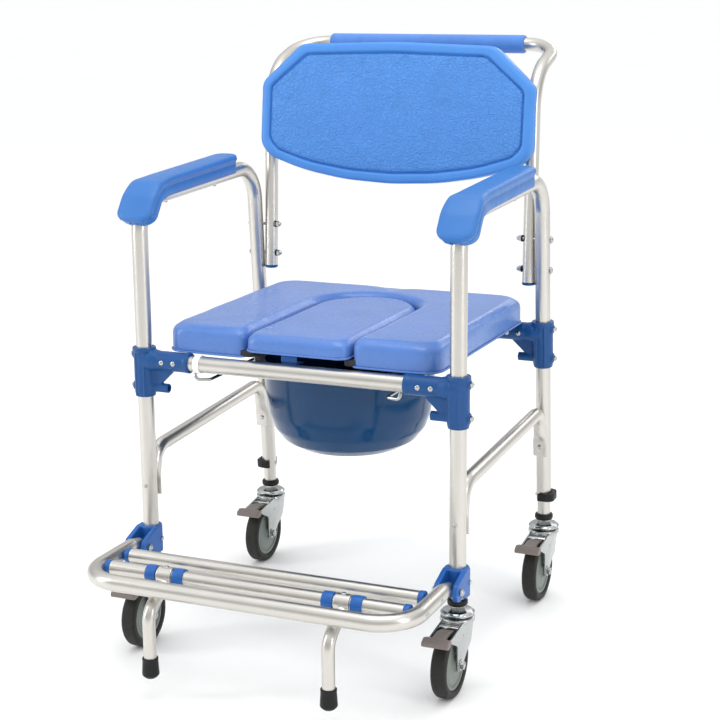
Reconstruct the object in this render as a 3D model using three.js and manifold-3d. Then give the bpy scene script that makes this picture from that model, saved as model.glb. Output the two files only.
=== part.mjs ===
// Wheeled commode chair: bent aluminium side frames, moulded tee joints, padded seat with a lift-out
// insert, sliding pail, fold-up footrest and four braked swivel casters.
// Millimetres, +Z up, the sitter faces -Y. The origin is on the floor, under the middle of the chair.

import * as THREE from 'three';
import { mergeVertices } from 'three/addons/utils/BufferGeometryUtils.js';
import Module from 'manifold-3d';

const wasm = await Module();
wasm.setup();

// ---------------------------------------------------------------- driving dimensions
const originShift = 33; // from the middle between the legs to the middle of the whole chair, along Y
const legX = 257.5; // half the distance between the left and right side frames
const legY = 200; // half the distance between the front and rear legs, at seat height
const rearLean = 0.07; // how far a rear leg runs back for each millimetre down
const tubeR = 12.5; // outer radius of the main 25 mm tube
const tubeBore = 11.3; // inner radius of the main tube
const backTubeR = 11; // 22 mm tube of the back frame and footrest bars
const crossZ = 457; // axis of the two seat cross tubes
const fit = 0.4; // radial clearance between a tube and what it passes through

const armFrontZ = 700.9; // height of the arm run where it would meet the front leg
const armRearZ = 713.9; // height of the arm run where it would meet the rear leg
const frontLegEndZ = 150;
const rearLegEndZ = 166;

const seatHalfWidth = 224;
const seatFrontY = -196;
const seatRearY = 215;
const seatBottomZ = 472.6;
const seatBoardTopZ = 482.5;
const seatTopZ = 515;
const openingHalfWidth = 87; // U-shaped opening of the pad
const openingArcY = 59; // centre of its round rear end
const ledge = 11; // how far the board reaches in under the insert

const wheelR = 51;
const tyreWidth = 24;
const trail = 33; // how far the axle runs ahead of the swivel axis
const casterTopZ = 138; // bottom end of the leg extensions

const footrestZ = 172;
const footrestFrontY = -408;
const footrestMidY = -352;
const footrestRearY = -296;
const pivotY = -240;
const pivotZ = 166;
const supportX = 143;

const railX = 146;
const railZ = 433.5;
const railWireR = 2.5;

// ---------------------------------------------------------------- materials
function finish(color, metalness, roughness) {
  return new THREE.MeshStandardMaterial({ color, metalness, roughness });
}
const anodised = finish(0xdedbd4, 0.9, 0.35);
const zinc = finish(0xb9bdbd, 0.95, 0.25);
const teeBlue = finish(0x2a5f9e, 0, 0.45);
const bracketBlue = finish(0x2f6fc8, 0, 0.4);
const moulding = finish(0x5a9ae6, 0, 0.5);
const vinyl = finish(0x6f8fd6, 0, 0.4);
const pailBlue = finish(0x234f78, 0, 0.3);
const gripFoam = finish(0x4a7fe0, 0, 0.75);
const board = finish(0x26282c, 0, 0.7);
const tyreRubber = finish(0x3a3935, 0, 0.8);
const hubGrey = finish(0x8b928d, 0, 0.5);
const pedalGrey = finish(0x8a807a, 0, 0.5);
const blackRubber = finish(0x101010, 0, 0.7);

// ---------------------------------------------------------------- solids
// A closed three.js geometry as a solid, turned the right way out.
function solid(geometry) {
  const bare = geometry.clone();
  bare.deleteAttribute('normal');
  bare.deleteAttribute('uv');
  const merged = mergeVertices(bare, 1e-3);
  const position = merged.attributes.position;
  const triangles = [];
  const a = new THREE.Vector3();
  const b = new THREE.Vector3();
  const c = new THREE.Vector3();
  let volume = 0;
  for (let i = 0; i < merged.index.count; i += 3) {
    const [p, q, r] = [0, 1, 2].map((k) => merged.index.getX(i + k));
    if (p === q || q === r || r === p) continue;
    triangles.push([p, q, r]);
    a.fromBufferAttribute(position, p);
    b.fromBufferAttribute(position, q);
    c.fromBufferAttribute(position, r);
    volume += a.dot(b.cross(c));
  }
  const order = volume < 0 ? [0, 2, 1] : [0, 1, 2];
  return new wasm.Manifold(new wasm.Mesh({
    numProp: 3,
    vertProperties: new Float32Array(position.array),
    triVerts: new Uint32Array(triangles.flatMap((t) => order.map((k) => t[k]))),
  }));
}

function mesh(name, body, material) {
  const { vertProperties, triVerts } = body.getMesh();
  const geometry = new THREE.BufferGeometry();
  geometry.setAttribute('position', new THREE.BufferAttribute(new Float32Array(vertProperties), 3));
  geometry.setIndex(new THREE.BufferAttribute(new Uint32Array(triVerts), 1));
  geometry.computeVertexNormals();
  const made = new THREE.Mesh(geometry, material);
  made.name = name;
  return made;
}

function box(x0, x1, y0, y1, z0, z1) {
  const geometry = new THREE.BoxGeometry(x1 - x0, y1 - y0, z1 - z0);
  return solid(geometry.translate((x0 + x1) / 2, (y0 + y1) / 2, (z0 + z1) / 2));
}

// A round bar along X, Y or Z, from one coordinate to another on that axis.
function bar(axis, radius, from, to, across = [0, 0], sides = 16) {
  const geometry = new THREE.CylinderGeometry(radius, radius, Math.abs(to - from), sides);
  const middle = (from + to) / 2;
  if (axis === 'x') geometry.rotateZ(Math.PI / 2).translate(middle, across[0], across[1]);
  if (axis === 'y') geometry.translate(across[0], middle, across[1]);
  if (axis === 'z') geometry.rotateX(Math.PI / 2).translate(across[0], across[1], middle);
  return solid(geometry);
}

// A turned solid about Z from [radius, height] pairs.
function turned(profile, segments = 16) {
  const points = profile.map(([r, z]) => new THREE.Vector2(r, z));
  return solid(new THREE.LatheGeometry(points, segments).rotateX(Math.PI / 2));
}

// An outline in Y and Z, given as [y, z] pairs, with thickness along X.
function sidePlate(outline, x0, x1) {
  const shape = new THREE.Shape(outline.map(([y, z]) => new THREE.Vector2(y, z)));
  const geometry = new THREE.ExtrudeGeometry(shape, { depth: x1 - x0, bevelEnabled: false });
  geometry.applyMatrix4(new THREE.Matrix4().set(0, 0, 1, x0, 1, 0, 0, 0, 0, 1, 0, 0, 0, 0, 0, 1));
  return solid(geometry);
}

// A plan outline (a THREE.Shape in X and Y) with thickness along Z.
function slab(shape, z0, z1, curveSegments = 5) {
  const geometry = new THREE.ExtrudeGeometry(shape, { depth: z1 - z0, bevelEnabled: false, curveSegments });
  return solid(geometry.translate(0, 0, z0));
}

// Stations along a bent tube: straight runs with a round bend at each inner corner [point, radius].
function bentStations(corners, stepsPerBend) {
  const stations = [corners[0].at];
  for (let i = 1; i < corners.length - 1; i += 1) {
    const { at, r } = corners[i];
    const back = corners[i - 1].at.clone().sub(at).normalize();
    const ahead = corners[i + 1].at.clone().sub(at).normalize();
    const half = back.angleTo(ahead) / 2;
    const reach = r / Math.tan(half);
    const centre = at.clone().add(back.clone().add(ahead).normalize().multiplyScalar(r / Math.sin(half)));
    const start = at.clone().add(back.multiplyScalar(reach)).sub(centre);
    const end = at.clone().add(ahead.multiplyScalar(reach)).sub(centre);
    const sweep = start.angleTo(end);
    const axis = start.clone().cross(end).normalize();
    for (let k = 0; k <= stepsPerBend; k += 1) {
      stations.push(start.clone().applyAxisAngle(axis, (sweep * k) / stepsPerBend).add(centre));
    }
  }
  stations.push(corners[corners.length - 1].at);
  return stations;
}

// A path that visits its stations one after the other, so straight runs take a single step.
class StationPath extends THREE.Curve {
  constructor(stations) {
    super();
    this.stations = stations;
  }

  getPoint(t) {
    const place = t * (this.stations.length - 1);
    const index = Math.min(Math.floor(place + 1e-6), this.stations.length - 2);
    return this.stations[index].clone().lerp(this.stations[index + 1], place - index);
  }

  getPointAt(t) {
    return this.getPoint(t);
  }

  getTangentAt(t) {
    const last = this.stations.length - 1;
    const index = Math.round(t * last);
    const before = this.stations[Math.max(index - 1, 0)];
    const here = this.stations[index];
    const after = this.stations[Math.min(index + 1, last)];
    const arriving = here.clone().sub(before).normalize();
    const leaving = after.clone().sub(here).normalize();
    return arriving.add(leaving).normalize();
  }
}

function tube(corners, radius, bore = 0, sides = 12, stepsPerBend = 4) {
  const stations = bentStations(corners, stepsPerBend);
  const ring = new THREE.Shape().absarc(0, 0, radius, 0, 2 * Math.PI, false);
  if (bore > 0) ring.holes.push(new THREE.Path().absarc(0, 0, bore, 0, 2 * Math.PI, true));
  return solid(new THREE.ExtrudeGeometry(ring, {
    steps: stations.length - 1,
    curveSegments: sides / 2, // three.js gives a full circle twice this many sides
    extrudePath: new StationPath(stations),
  }));
}

const point = (x, y, z) => new THREE.Vector3(x, y, z);
const rearLegAt = (z) => legY + rearLean * (crossZ - z); // Y of a rear leg's axis at a height

// ---------------------------------------------------------------- side frames
function sideFrameCorners(side) {
  const x = side * legX;
  return [
    { at: point(x, -legY, frontLegEndZ) },
    { at: point(x, -legY, armFrontZ), r: 50 },
    { at: point(x, rearLegAt(armRearZ), armRearZ), r: 60 },
    { at: point(x, rearLegAt(rearLegEndZ), rearLegEndZ) },
  ];
}

function makeSideFrame(side, name) {
  return mesh(`side_frame_${name}`, tube(sideFrameCorners(side), tubeR, tubeBore), anodised);
}

// ---------------------------------------------------------------- seat cross tubes and tee joints
function makeCrossTube(y, name) {
  const outer = bar('x', tubeR, -238, 238, [y, crossZ]);
  return mesh(`${name}_cross_tube`, outer.subtract(bar('x', 11, -240, 240, [y, crossZ])), anodised);
}

// A moulded joint: upright sleeve on the leg, level sleeve for the cross tube, a web between them,
// a hollow peg and two bolt bosses. It is drawn at its own centre and leans with its leg.
function makeTee(side, front, name) {
  const inward = -side;
  const sleeve = turned([[0, -57.5], [16.5, -57.5], [16.5, 14], [18, 15], [18, 20], [0, 20]], 16);
  const arm = bar('x', 15, 0, inward * 81.5, [0, 0]);
  const webShape = new THREE.Shape([[0, -5], [52, -5], [52, -14], [30, -34], [0, -40]].map(
    ([x, z]) => new THREE.Vector2(inward * x, z),
  ));
  const web = solid(new THREE.ExtrudeGeometry(webShape, { depth: 8, bevelEnabled: false })
    .rotateX(Math.PI / 2).translate(0, 4, 0));
  const peg = bar('x', 7, inward * 12, inward * 42, [0, -43], 10)
    .subtract(bar('x', 4.5, inward * 22, inward * 43, [0, -43], 8));
  const bosses = [8, -42].map((z) => bar('x', 8, side * 8, side * 19.5, [0, z], 10));
  const body = sleeve.add(arm).add(web).add(peg).add(bosses[0]).add(bosses[1])
    .subtract(bar('z', tubeR + fit, -60, 22))
    .subtract(bar('x', tubeR + fit, inward * 16, inward * 84));
  const tee = mesh(`tee_joint_${name}`, body, teeBlue);
  tee.position.set(side * legX, front ? -legY : legY, crossZ);
  tee.rotation.x = front ? 0 : Math.atan(rearLean);
  return tee;
}

// ---------------------------------------------------------------- side braces
// A 22 mm tube between front and rear leg, bent down at both ends, with flattened bolted ends.
function makeBrace(side, name) {
  const x = side * legX;
  const r = 11;
  const plate = 4; // thickness of a flattened end
  const gap = 0.6; // from an end to the leg it is bolted to
  const frontFace = -legY + tubeR + gap;
  const rearFace = rearLegAt(300) - tubeR - gap;
  const body = tube([
    { at: point(x, frontFace + r, 262) },
    { at: point(x, frontFace + r, 309), r: 30 },
    { at: point(x, rearFace - r, 328), r: 30 },
    { at: point(x, rearFace - r, 292) },
  ], r, 9.5, 10, 4);
  const frontPlate = box(x - 11, x + 11, frontFace, frontFace + plate, 238, 272);
  const lean = Math.atan(rearLean);
  const rearPlate = solid(new THREE.BoxGeometry(22, plate, 52).rotateX(lean)
    .translate(x, rearLegAt(274) - tubeR - gap - plate / 2, 274));
  return mesh(`side_brace_${name}`, body.add(frontPlate).add(rearPlate), anodised);
}

// ---------------------------------------------------------------- armrests
function makeArmrest(side, name) {
  const profile = [
    [90, 744], [-140, 734.5], [-172, 731], [-194, 719], [-213, 697], [-225, 678], [-222, 669.5],
    [-213, 667], [-197, 667.5], [-187, 673], [-178, 692], [-164, 701], [90, 711.5],
  ];
  const plan = new THREE.Shape();
  plan.moveTo(-20, -227);
  plan.quadraticCurveTo(-29.5, -226, -29.5, -206);
  plan.bezierCurveTo(-29.5, -160, -24, -150, -23, -110);
  plan.lineTo(-22, 78);
  plan.quadraticCurveTo(-22, 90, -12, 90);
  plan.lineTo(12, 90);
  plan.quadraticCurveTo(22, 90, 22, 78);
  plan.lineTo(23, -110);
  plan.bezierCurveTo(24, -150, 29.5, -160, 29.5, -206);
  plan.quadraticCurveTo(29.5, -226, 20, -227);
  const cover = slab(plan, 650, 760, 5).translate([side * legX, 0, 0]);
  const body = sidePlate(profile, side * legX - 32, side * legX + 32)
    .intersect(cover)
    .subtract(tube(sideFrameCorners(side), tubeR + fit));
  return mesh(`armrest_${name}`, body, moulding);
}

// ---------------------------------------------------------------- back frame, grip and backrest
const backX = 233;
const handleY = 339.5;
const handleZ = 914;
const backTubeAt = (z) => 196 + 0.05 * (z - 540); // Y of an upright at a height

function backFrameCorners() {
  const half = (side) => [
    { at: point(side * backX, backTubeAt(540), 540) },
    { at: point(side * backX, backTubeAt(872), 872), r: 80 },
    { at: point(side * backX, handleY, handleZ), r: 55 },
  ];
  return [...half(-1), ...half(1).reverse()];
}

function makeBackFrame() {
  return mesh('back_frame', tube(backFrameCorners(), backTubeR, 9.6), anodised);
}

function makePushGrip() {
  const sleeve = bar('x', 15, -176, 176, [handleY, handleZ])
    .subtract(bar('x', backTubeR + fit, -178, 178, [handleY, handleZ]));
  return mesh('push_bar_grip', sleeve, gripFoam);
}

// Outline of the backrest in X and Z: straight sides, cut top corners and a hanging lower edge.
function backrestOutline(inset) {
  const half = [
    [0, 694], [80, 698], [160, 711], [222, 732], [236, 745], [240, 765], [240, 856], [170, 920], [150, 924], [0, 925],
  ];
  const centreZ = 810;
  const moved = half.map(([x, z]) => [
    x * (1 - inset / 240),
    centreZ + (z - centreZ) * (1 - inset / 115),
  ]);
  const mirrored = moved.slice(1, -1).reverse().map(([x, z]) => [-x, z]);
  return [...moved, ...mirrored];
}

function makeBackrest() {
  const thickness = 28;
  const lean = Math.atan(0.12);
  const panelFrom = (inset, depth) => {
    const shape = new THREE.Shape(backrestOutline(inset).map(([x, z]) => new THREE.Vector2(x, z - 694)));
    const geometry = new THREE.ExtrudeGeometry(shape, { depth, bevelEnabled: false });
    return geometry.rotateX(Math.PI / 2);
  };
  // The plate is drawn upright, leaned back about its lower edge and put in front of the uprights.
  const place = (geometry, forward) => solid(geometry.translate(0, forward, 0).rotateX(-lean)
    .translate(0, 168 + thickness, 694));
  const plate = place(panelFrom(0, thickness), 0);
  const recess = place(panelFrom(17, 6), -thickness + 3);
  const body = plate.subtract(recess).subtract(tube(backFrameCorners(), backTubeR + 1));
  return mesh('backrest_panel', body, moulding);
}

// ---------------------------------------------------------------- seat
function seatShape(inset, halfOpening) {
  const w = seatHalfWidth - inset;
  const f = seatFrontY + inset;
  const b = seatRearY - inset;
  const r = 26;
  const shape = new THREE.Shape();
  shape.moveTo(halfOpening, f);
  shape.lineTo(w - r, f);
  shape.absarc(w - r, f + r, r, -Math.PI / 2, 0, false);
  shape.absarc(w - r, b - r, r, 0, Math.PI / 2, false);
  shape.absarc(-w + r, b - r, r, Math.PI / 2, Math.PI, false);
  shape.absarc(-w + r, f + r, r, Math.PI, 1.5 * Math.PI, false);
  shape.lineTo(-halfOpening, f);
  shape.absarc(0, openingArcY, halfOpening, Math.PI, 0, true);
  shape.closePath();
  return shape;
}

function makeSeatBoard() {
  return mesh('seat_board', slab(seatShape(4, openingHalfWidth - ledge), seatBottomZ, seatBoardTopZ), board);
}

function makeSeatPad() {
  const core = slab(seatShape(0, openingHalfWidth), seatBoardTopZ + 0.3, seatTopZ - 8);
  const crown = slab(seatShape(6, openingHalfWidth + 3), seatTopZ - 8, seatTopZ);
  return mesh('seat_pad', core.add(crown), vinyl);
}

function makeSeatInsert() {
  const half = openingHalfWidth - 2.5;
  const shape = new THREE.Shape();
  shape.moveTo(-half + 14, -205);
  shape.lineTo(half - 14, -205);
  shape.absarc(half - 14, -191, 14, -Math.PI / 2, 0, false);
  shape.absarc(0, openingArcY, half, 0, Math.PI, false);
  shape.absarc(-half + 14, -191, 14, Math.PI, 1.5 * Math.PI, false);
  return mesh('seat_insert', slab(shape, seatBoardTopZ + 0.5, 510.5), vinyl);
}

// ---------------------------------------------------------------- pail and its wire rails
function makePail() {
  const outer = [[0, 295], [62, 295], [86, 299], [107, 311], [122, 330], [130, 353], [134.5, 385], [137, 436.8]];
  const rim = [[152, 436.8], [152, 441], [134, 441]];
  const inner = [[131.5, 385], [127, 354], [119.2, 332.4], [104.8, 314], [84.8, 302.2], [62, 298.2], [0, 298.2]];
  return mesh('pail', turned([...outer, ...rim, ...inner], 28), pailBlue);
}

function makeRail(side, name) {
  const hook = (end) => [
    { at: point(side * 168, end * 200, crossZ - tubeR - 0.4) },
    { at: point(side * 168, end * 203, railZ), r: 5 },
    { at: point(side * railX, end * 197, railZ), r: 5 },
  ];
  return mesh(`pail_rail_${name}`, tube([...hook(-1), ...hook(1).reverse()], railWireR, 0, 8, 2), zinc);
}

// ---------------------------------------------------------------- leg extensions, clips and casters
function casterY(front) {
  return front ? -legY : rearLegAt(casterTopZ);
}

function makeExtension(side, front, name) {
  const x = side * legX;
  const top = 330;
  const lowY = casterY(front);
  const highY = front ? -legY : rearLegAt(top);
  const body = tube([{ at: point(x, lowY, casterTopZ) }, { at: point(x, highY, top) }], 10.9, 9.7, 12);
  return mesh(`leg_extension_${name}`, body, anodised);
}

function makeLegClip(side, name) {
  const z = 174;
  const y = rearLegAt(z);
  const inside = tubeR + 0.9;
  const outline = new THREE.Shape();
  outline.moveTo(-6, -inside - 4);
  outline.lineTo(8, -inside - 4);
  outline.quadraticCurveTo(19, -inside, 19, 0);
  outline.quadraticCurveTo(19, inside, 8, inside + 4);
  outline.lineTo(-6, inside + 4);
  outline.lineTo(-6, inside);
  outline.lineTo(0, inside);
  outline.absarc(0, 0, inside, Math.PI / 2, -Math.PI / 2, true);
  outline.lineTo(-6, -inside);
  outline.closePath();
  const clip = mesh(`leg_clip_${name}`, slab(outline, -6.5, 6.5, 6), blackRubber);
  clip.position.set(side * legX, y, z);
  clip.rotation.z = side > 0 ? 0 : Math.PI;
  return clip;
}

function makeSwivelTop(x, y, name) {
  const profile = [[0, 116.1], [20, 116.1], [25, 118], [25.5, 121], [22, 123.5], [13, 124.5], [10, 131],
    [8.4, 131.5], [8.4, 150], [0, 150]];
  return mesh(`caster_swivel_${name}`, turned(profile).translate([x, y, 0]), zinc);
}

function makeFork(x, y, name) {
  const head = turned([[0, 105.5], [24, 105.5], [26, 109], [25.5, 113.5], [20, 115.8], [0, 115.8]]);
  const cheek = [[20, 109], [21.5, 98], [15, 74], [-6, 62], [-23, 48], [-29, 42], [-37, 42], [-43, 48], [-43, 88],
    [-70, 98], [-73, 104], [-22, 112], [10, 112]];
  const body = head.add(sidePlate(cheek, 14.8, 17.6)).add(sidePlate(cheek, -17.6, -14.8))
    .add(box(-17.6, 17.6, -22, 20, 105.5, 111))
    .subtract(bar('x', 4.5, -20, 20, [-trail, wheelR], 10));
  return mesh(`caster_fork_${name}`, body.translate([x, y, 0]), zinc);
}

function makeAxle(x, y, name) {
  const axis = [-trail, wheelR];
  const body = bar('x', 4, -20, 20, axis, 10)
    .add(bar('x', 7.5, 17.9, 23, axis, 6))
    .add(bar('x', 7.5, -23, -17.9, axis, 6));
  return mesh(`caster_axle_${name}`, body.translate([x, y, 0]), zinc);
}

function wheelSolid(profile, segments, x, y) {
  const points = [...profile, profile[0]].map(([r, w]) => new THREE.Vector2(r, w));
  const geometry = new THREE.LatheGeometry(points, segments).rotateZ(Math.PI / 2);
  return solid(geometry.rotateX(Math.PI / segments).translate(x, y - trail, wheelR));
}

function makeTyre(x, y, name) {
  const half = tyreWidth / 2;
  const sides = 24;
  const tread = wheelR / Math.cos(Math.PI / sides); // so that a flat of the tread lies on the floor
  const profile = [[39.4, -10], [43, -half], [48, -half], [tread, -7], [tread, 7], [48, half], [43, half], [39.4, 10]];
  return mesh(`caster_tyre_${name}`, wheelSolid(profile, sides, x, y), tyreRubber);
}

function makeHub(x, y, name) {
  const profile = [[4.6, -13.5], [11, -13.5], [12, -9], [38.6, -9], [38.6, 9], [12, 9], [11, 13.5], [4.6, 13.5]];
  return mesh(`caster_hub_${name}`, wheelSolid(profile, 20, x, y), hubGrey);
}

function makePedal(x, y, name) {
  const tongue = sidePlate([[-40, 104.4], [-40, 105], [-60, 110.5], [-84, 108], [-84, 101.5], [-62, 104.4]], -10, 10);
  const tread = sidePlate([[-80, 99], [-80, 107.5], [-86, 109], [-95, 105], [-96, 99], [-90, 97]], -21, 21);
  return mesh(`brake_pedal_${name}`, tongue.add(tread).translate([x, y, 0]), pedalGrey);
}

function makeLeg(side, front) {
  const name = `${front ? 'front' : 'rear'}_${side < 0 ? 'left' : 'right'}`;
  const x = side * legX;
  const y = casterY(front);
  const makers = [makeSwivelTop, makeFork, makeAxle, makeTyre, makeHub, makePedal];
  return [makeExtension(side, front, name), ...makers.map((make) => make(x, y, name))];
}

// ---------------------------------------------------------------- footrest
// A clamp round the front leg with two cheeks that carry the footrest's pivot pin.
function makeFootrestBracket(side, name) {
  const x = side * legX;
  const cheek = [[-200, 190], [-216, 189], [-249, 176], [-254, 167], [-251, 156], [-240, 151], [-228, 153],
    [-214, 147], [-200, 146]];
  const body = bar('z', 17.5, 146, 190, [x, -legY], 14)
    .add(sidePlate(cheek, x + 10.5, x + 19))
    .add(sidePlate(cheek, x - 19, x - 10.5))
    .subtract(bar('z', tubeR + fit, 140, 195, [x, -legY]))
    .add(bar('x', 3.8, x - 20, x + 20, [pivotY, pivotZ], 14))
    .add(bar('x', 6, x + 18, x + 22, [pivotY, pivotZ], 6))
    .add(bar('x', 6, x - 22, x - 18, [pivotY, pivotZ], 6));
  return mesh(`footrest_bracket_${name}`, body, bracketBlue);
}

function makeFootrestFrame() {
  const earEnd = -262;
  const corners = [-1, 1].map((side) => [
    { at: point(side * legX, earEnd, footrestZ) },
    { at: point(side * legX, footrestFrontY, footrestZ), r: 60 },
  ]);
  let body = tube([...corners[0], ...corners[1].reverse()], tubeR, 11);
  for (const side of [-1, 1]) {
    const x = side * legX;
    const ear = sidePlate([[earEnd - 12, 162], [earEnd - 12, 182], [-246, 180], [-240, 177], [-231, 172],
      [-229, 165], [-232, 158], [-240, 155], [-250, 157]], x - 9.5, x + 9.5);
    body = body.add(ear).subtract(bar('x', 4.4, x - 12, x + 12, [pivotY, pivotZ], 14));
  }
  return mesh('footrest_frame', body, anodised);
}

function makeFootrestBar(y, name) {
  const end = legX - tubeR - 3; // the corner bends start just ahead of the middle bar
  const body = bar('x', backTubeR, -end, end, [y, footrestZ], 16)
    .subtract(bar('x', 9.6, -end - 1, end + 1, [y, footrestZ], 16));
  return mesh(`footrest_${name}_bar`, body, anodised);
}

// A bent stay that hangs on the middle bar and passes under the front one, with a rubber tip.
function makeSupportLeg(side, name) {
  const x = side * supportX;
  const knuckle = bar('x', 14.5, x - 12, x + 12, [footrestMidY, footrestZ]);
  const body = tube([
    { at: point(x, footrestMidY - 4, footrestZ - 3) },
    { at: point(x, footrestFrontY, 134), r: 30 },
    { at: point(x, footrestFrontY, 42) },
  ], 9.5, 0, 12, 4);
  const bore = bar('x', backTubeR + fit, x - 14, x + 14, [footrestMidY, footrestZ]);
  return mesh(`support_leg_${name}`, knuckle.add(body).subtract(bore), anodised);
}

function makeSupportTip(side, name) {
  const profile = [[0, 34], [9, 34], [12.6, 38], [12.2, 52], [11.4, 65], [9.9, 65], [9.9, 41.6], [0, 41.6]];
  const body = turned(profile, 16).translate([side * supportX, footrestFrontY, 0]);
  return mesh(`support_tip_${name}`, body, blackRubber);
}

// ---------------------------------------------------------------- the whole chair
const chair = new THREE.Group();
chair.position.y = originShift;
for (const [side, name] of [[-1, 'left'], [1, 'right']]) {
  chair.add(
    makeSideFrame(side, name),
    makeTee(side, true, `front_${name}`),
    makeTee(side, false, `rear_${name}`),
    makeBrace(side, name),
    makeArmrest(side, name),
    makeRail(side, name),
    makeLegClip(side, name),
    makeFootrestBracket(side, name),
    makeSupportLeg(side, name),
    makeSupportTip(side, name),
    ...makeLeg(side, true),
    ...makeLeg(side, false),
  );
}
chair.add(
  makeCrossTube(-legY, 'front'),
  makeCrossTube(legY, 'rear'),
  makeBackFrame(),
  makePushGrip(),
  makeBackrest(),
  makeSeatBoard(),
  makeSeatPad(),
  makeSeatInsert(),
  makePail(),
  makeFootrestFrame(),
  makeFootrestBar(footrestRearY, 'rear'),
  makeFootrestBar(footrestMidY, 'middle'),
);

const model = new THREE.Group();
model.add(chair);

export default model;
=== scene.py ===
"""Wheeled commode chair: its finished pieces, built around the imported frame.

Shapes are drawn in bench millimetres: +Z up, the sitter faces -Y, and the origin is on the floor
midway between the two seat cross tubes. Every mesh is turned into metres as it is made.
"""

import math

import bmesh
import bpy
from bpy.props import FloatProperty, FloatVectorProperty, PointerProperty
from mathutils import Matrix, Vector


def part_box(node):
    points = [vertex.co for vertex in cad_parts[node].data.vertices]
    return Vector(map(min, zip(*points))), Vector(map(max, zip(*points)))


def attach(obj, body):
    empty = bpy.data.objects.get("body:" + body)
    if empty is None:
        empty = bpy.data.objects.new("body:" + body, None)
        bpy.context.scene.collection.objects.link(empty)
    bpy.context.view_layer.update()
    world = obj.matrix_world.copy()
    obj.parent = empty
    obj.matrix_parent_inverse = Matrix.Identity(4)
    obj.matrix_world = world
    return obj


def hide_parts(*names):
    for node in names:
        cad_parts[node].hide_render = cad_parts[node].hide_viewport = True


bl_info = {
    "name": "Commode Chair",
    "version": (1, 0, 0),
    "blender": (4, 5, 0),
    "location": "3D View > Sidebar > Commode",
    "description": "Builds the finished pieces of a wheeled commode chair around its packed frame",
    "category": "Add Mesh",
}

# ---------------------------------------------------------------- the frame, in bench millimetres
MM = 0.001
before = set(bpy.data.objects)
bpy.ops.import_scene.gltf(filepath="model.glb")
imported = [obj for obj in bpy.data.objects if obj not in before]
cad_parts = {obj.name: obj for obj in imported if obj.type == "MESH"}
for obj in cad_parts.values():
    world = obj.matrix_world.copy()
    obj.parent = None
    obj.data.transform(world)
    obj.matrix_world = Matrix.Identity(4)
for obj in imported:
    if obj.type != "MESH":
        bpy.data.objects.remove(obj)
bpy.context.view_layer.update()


def middle(node):
    """The middle of a frame node's box, in millimetres."""
    low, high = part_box(node)
    return (low + high) / 2 / MM


FRONT_TUBE = middle("front_cross_tube")
REAR_TUBE = middle("rear_cross_tube")
BENCH_Y = (FRONT_TUBE.y + REAR_TUBE.y) / 2  # the bench origin, along Y in the frame


def span(node):
    """Lowest and highest corner of a frame node's box, in bench millimetres."""
    shift = Vector((0, BENCH_Y, 0))
    low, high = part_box(node)
    return low / MM - shift, high / MM - shift


LEG_X = middle("side_frame_right").x
LEG_Y = (REAR_TUBE.y - FRONT_TUBE.y) / 2
CROSS_Z = FRONT_TUBE.z
TUBE_R = (span("side_frame_right")[1].x - span("side_frame_right")[0].x) / 2
REAR_LEAN = 0.07  # how far a rear leg runs back for each millimetre down
FRONT_LEG_END, REAR_LEG_END = span("side_frame_right")[0].z, 166
CASTER_TOP = span("leg_extension_front_right")[0].z
WHEEL_R = middle("caster_tyre_front_right").z
TRAIL = 33  # how far each axle runs ahead of its swivel axis
FOOTREST_Z = middle("footrest_middle_bar").z
FOOTREST_FRONT = span("footrest_frame")[0].y + TUBE_R
FOOTREST_MIDDLE = middle("footrest_middle_bar").y - BENCH_Y
FOOTREST_REAR = middle("footrest_rear_bar").y - BENCH_Y
SUPPORT_X = middle("support_leg_right").x
GRIP = middle("push_bar_grip") - Vector((0, BENCH_Y, 0))
PAIRS = ((-1, "left"), (1, "right"))


def rear_leg(z):
    """How far back a rear leg's axis is at a height."""
    return LEG_Y + REAR_LEAN * (CROSS_Z - z)


# ---------------------------------------------------------------- outlines and surfaces
def rounded(points, closed=True, steps=5):
    """An outline whose (u, v, radius) points have round corners; (u, v) points stay sharp."""
    made = []
    for i, point in enumerate(points):
        corner = Vector(point[:2])
        if len(point) < 3 or (not closed and i in (0, len(points) - 1)):
            made.append(corner)
            continue
        radius = point[2]
        back = (Vector(points[i - 1][:2]) - corner).normalized()
        ahead = (Vector(points[(i + 1) % len(points)][:2]) - corner).normalized()
        half = back.angle(ahead) / 2
        centre = corner + (back + ahead).normalized() * radius / math.sin(half)
        start = corner + back * radius / math.tan(half) - centre
        end = corner + ahead * radius / math.tan(half) - centre
        first = math.atan2(start.y, start.x)
        turn_by = (math.atan2(end.y, end.x) - first + math.pi) % math.tau - math.pi
        for k in range(steps + 1):
            angle = first + turn_by * k / steps
            made.append(centre + Vector((math.cos(angle), math.sin(angle))) * radius)
    return made


def quarter(steps):
    """(1 - cos, 1 - sin) of angles from 0 to 90 degrees, for rounding an edge."""
    angles = [math.pi / 2 * k / steps for k in range(steps + 1)]
    return [(1 - math.cos(a), 1 - math.sin(a)) for a in angles]


def eased(part):
    """A smooth step from 0 to 1, level before and after."""
    part = min(1.0, max(0.0, part))
    return part * part * (3 - 2 * part)


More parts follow.
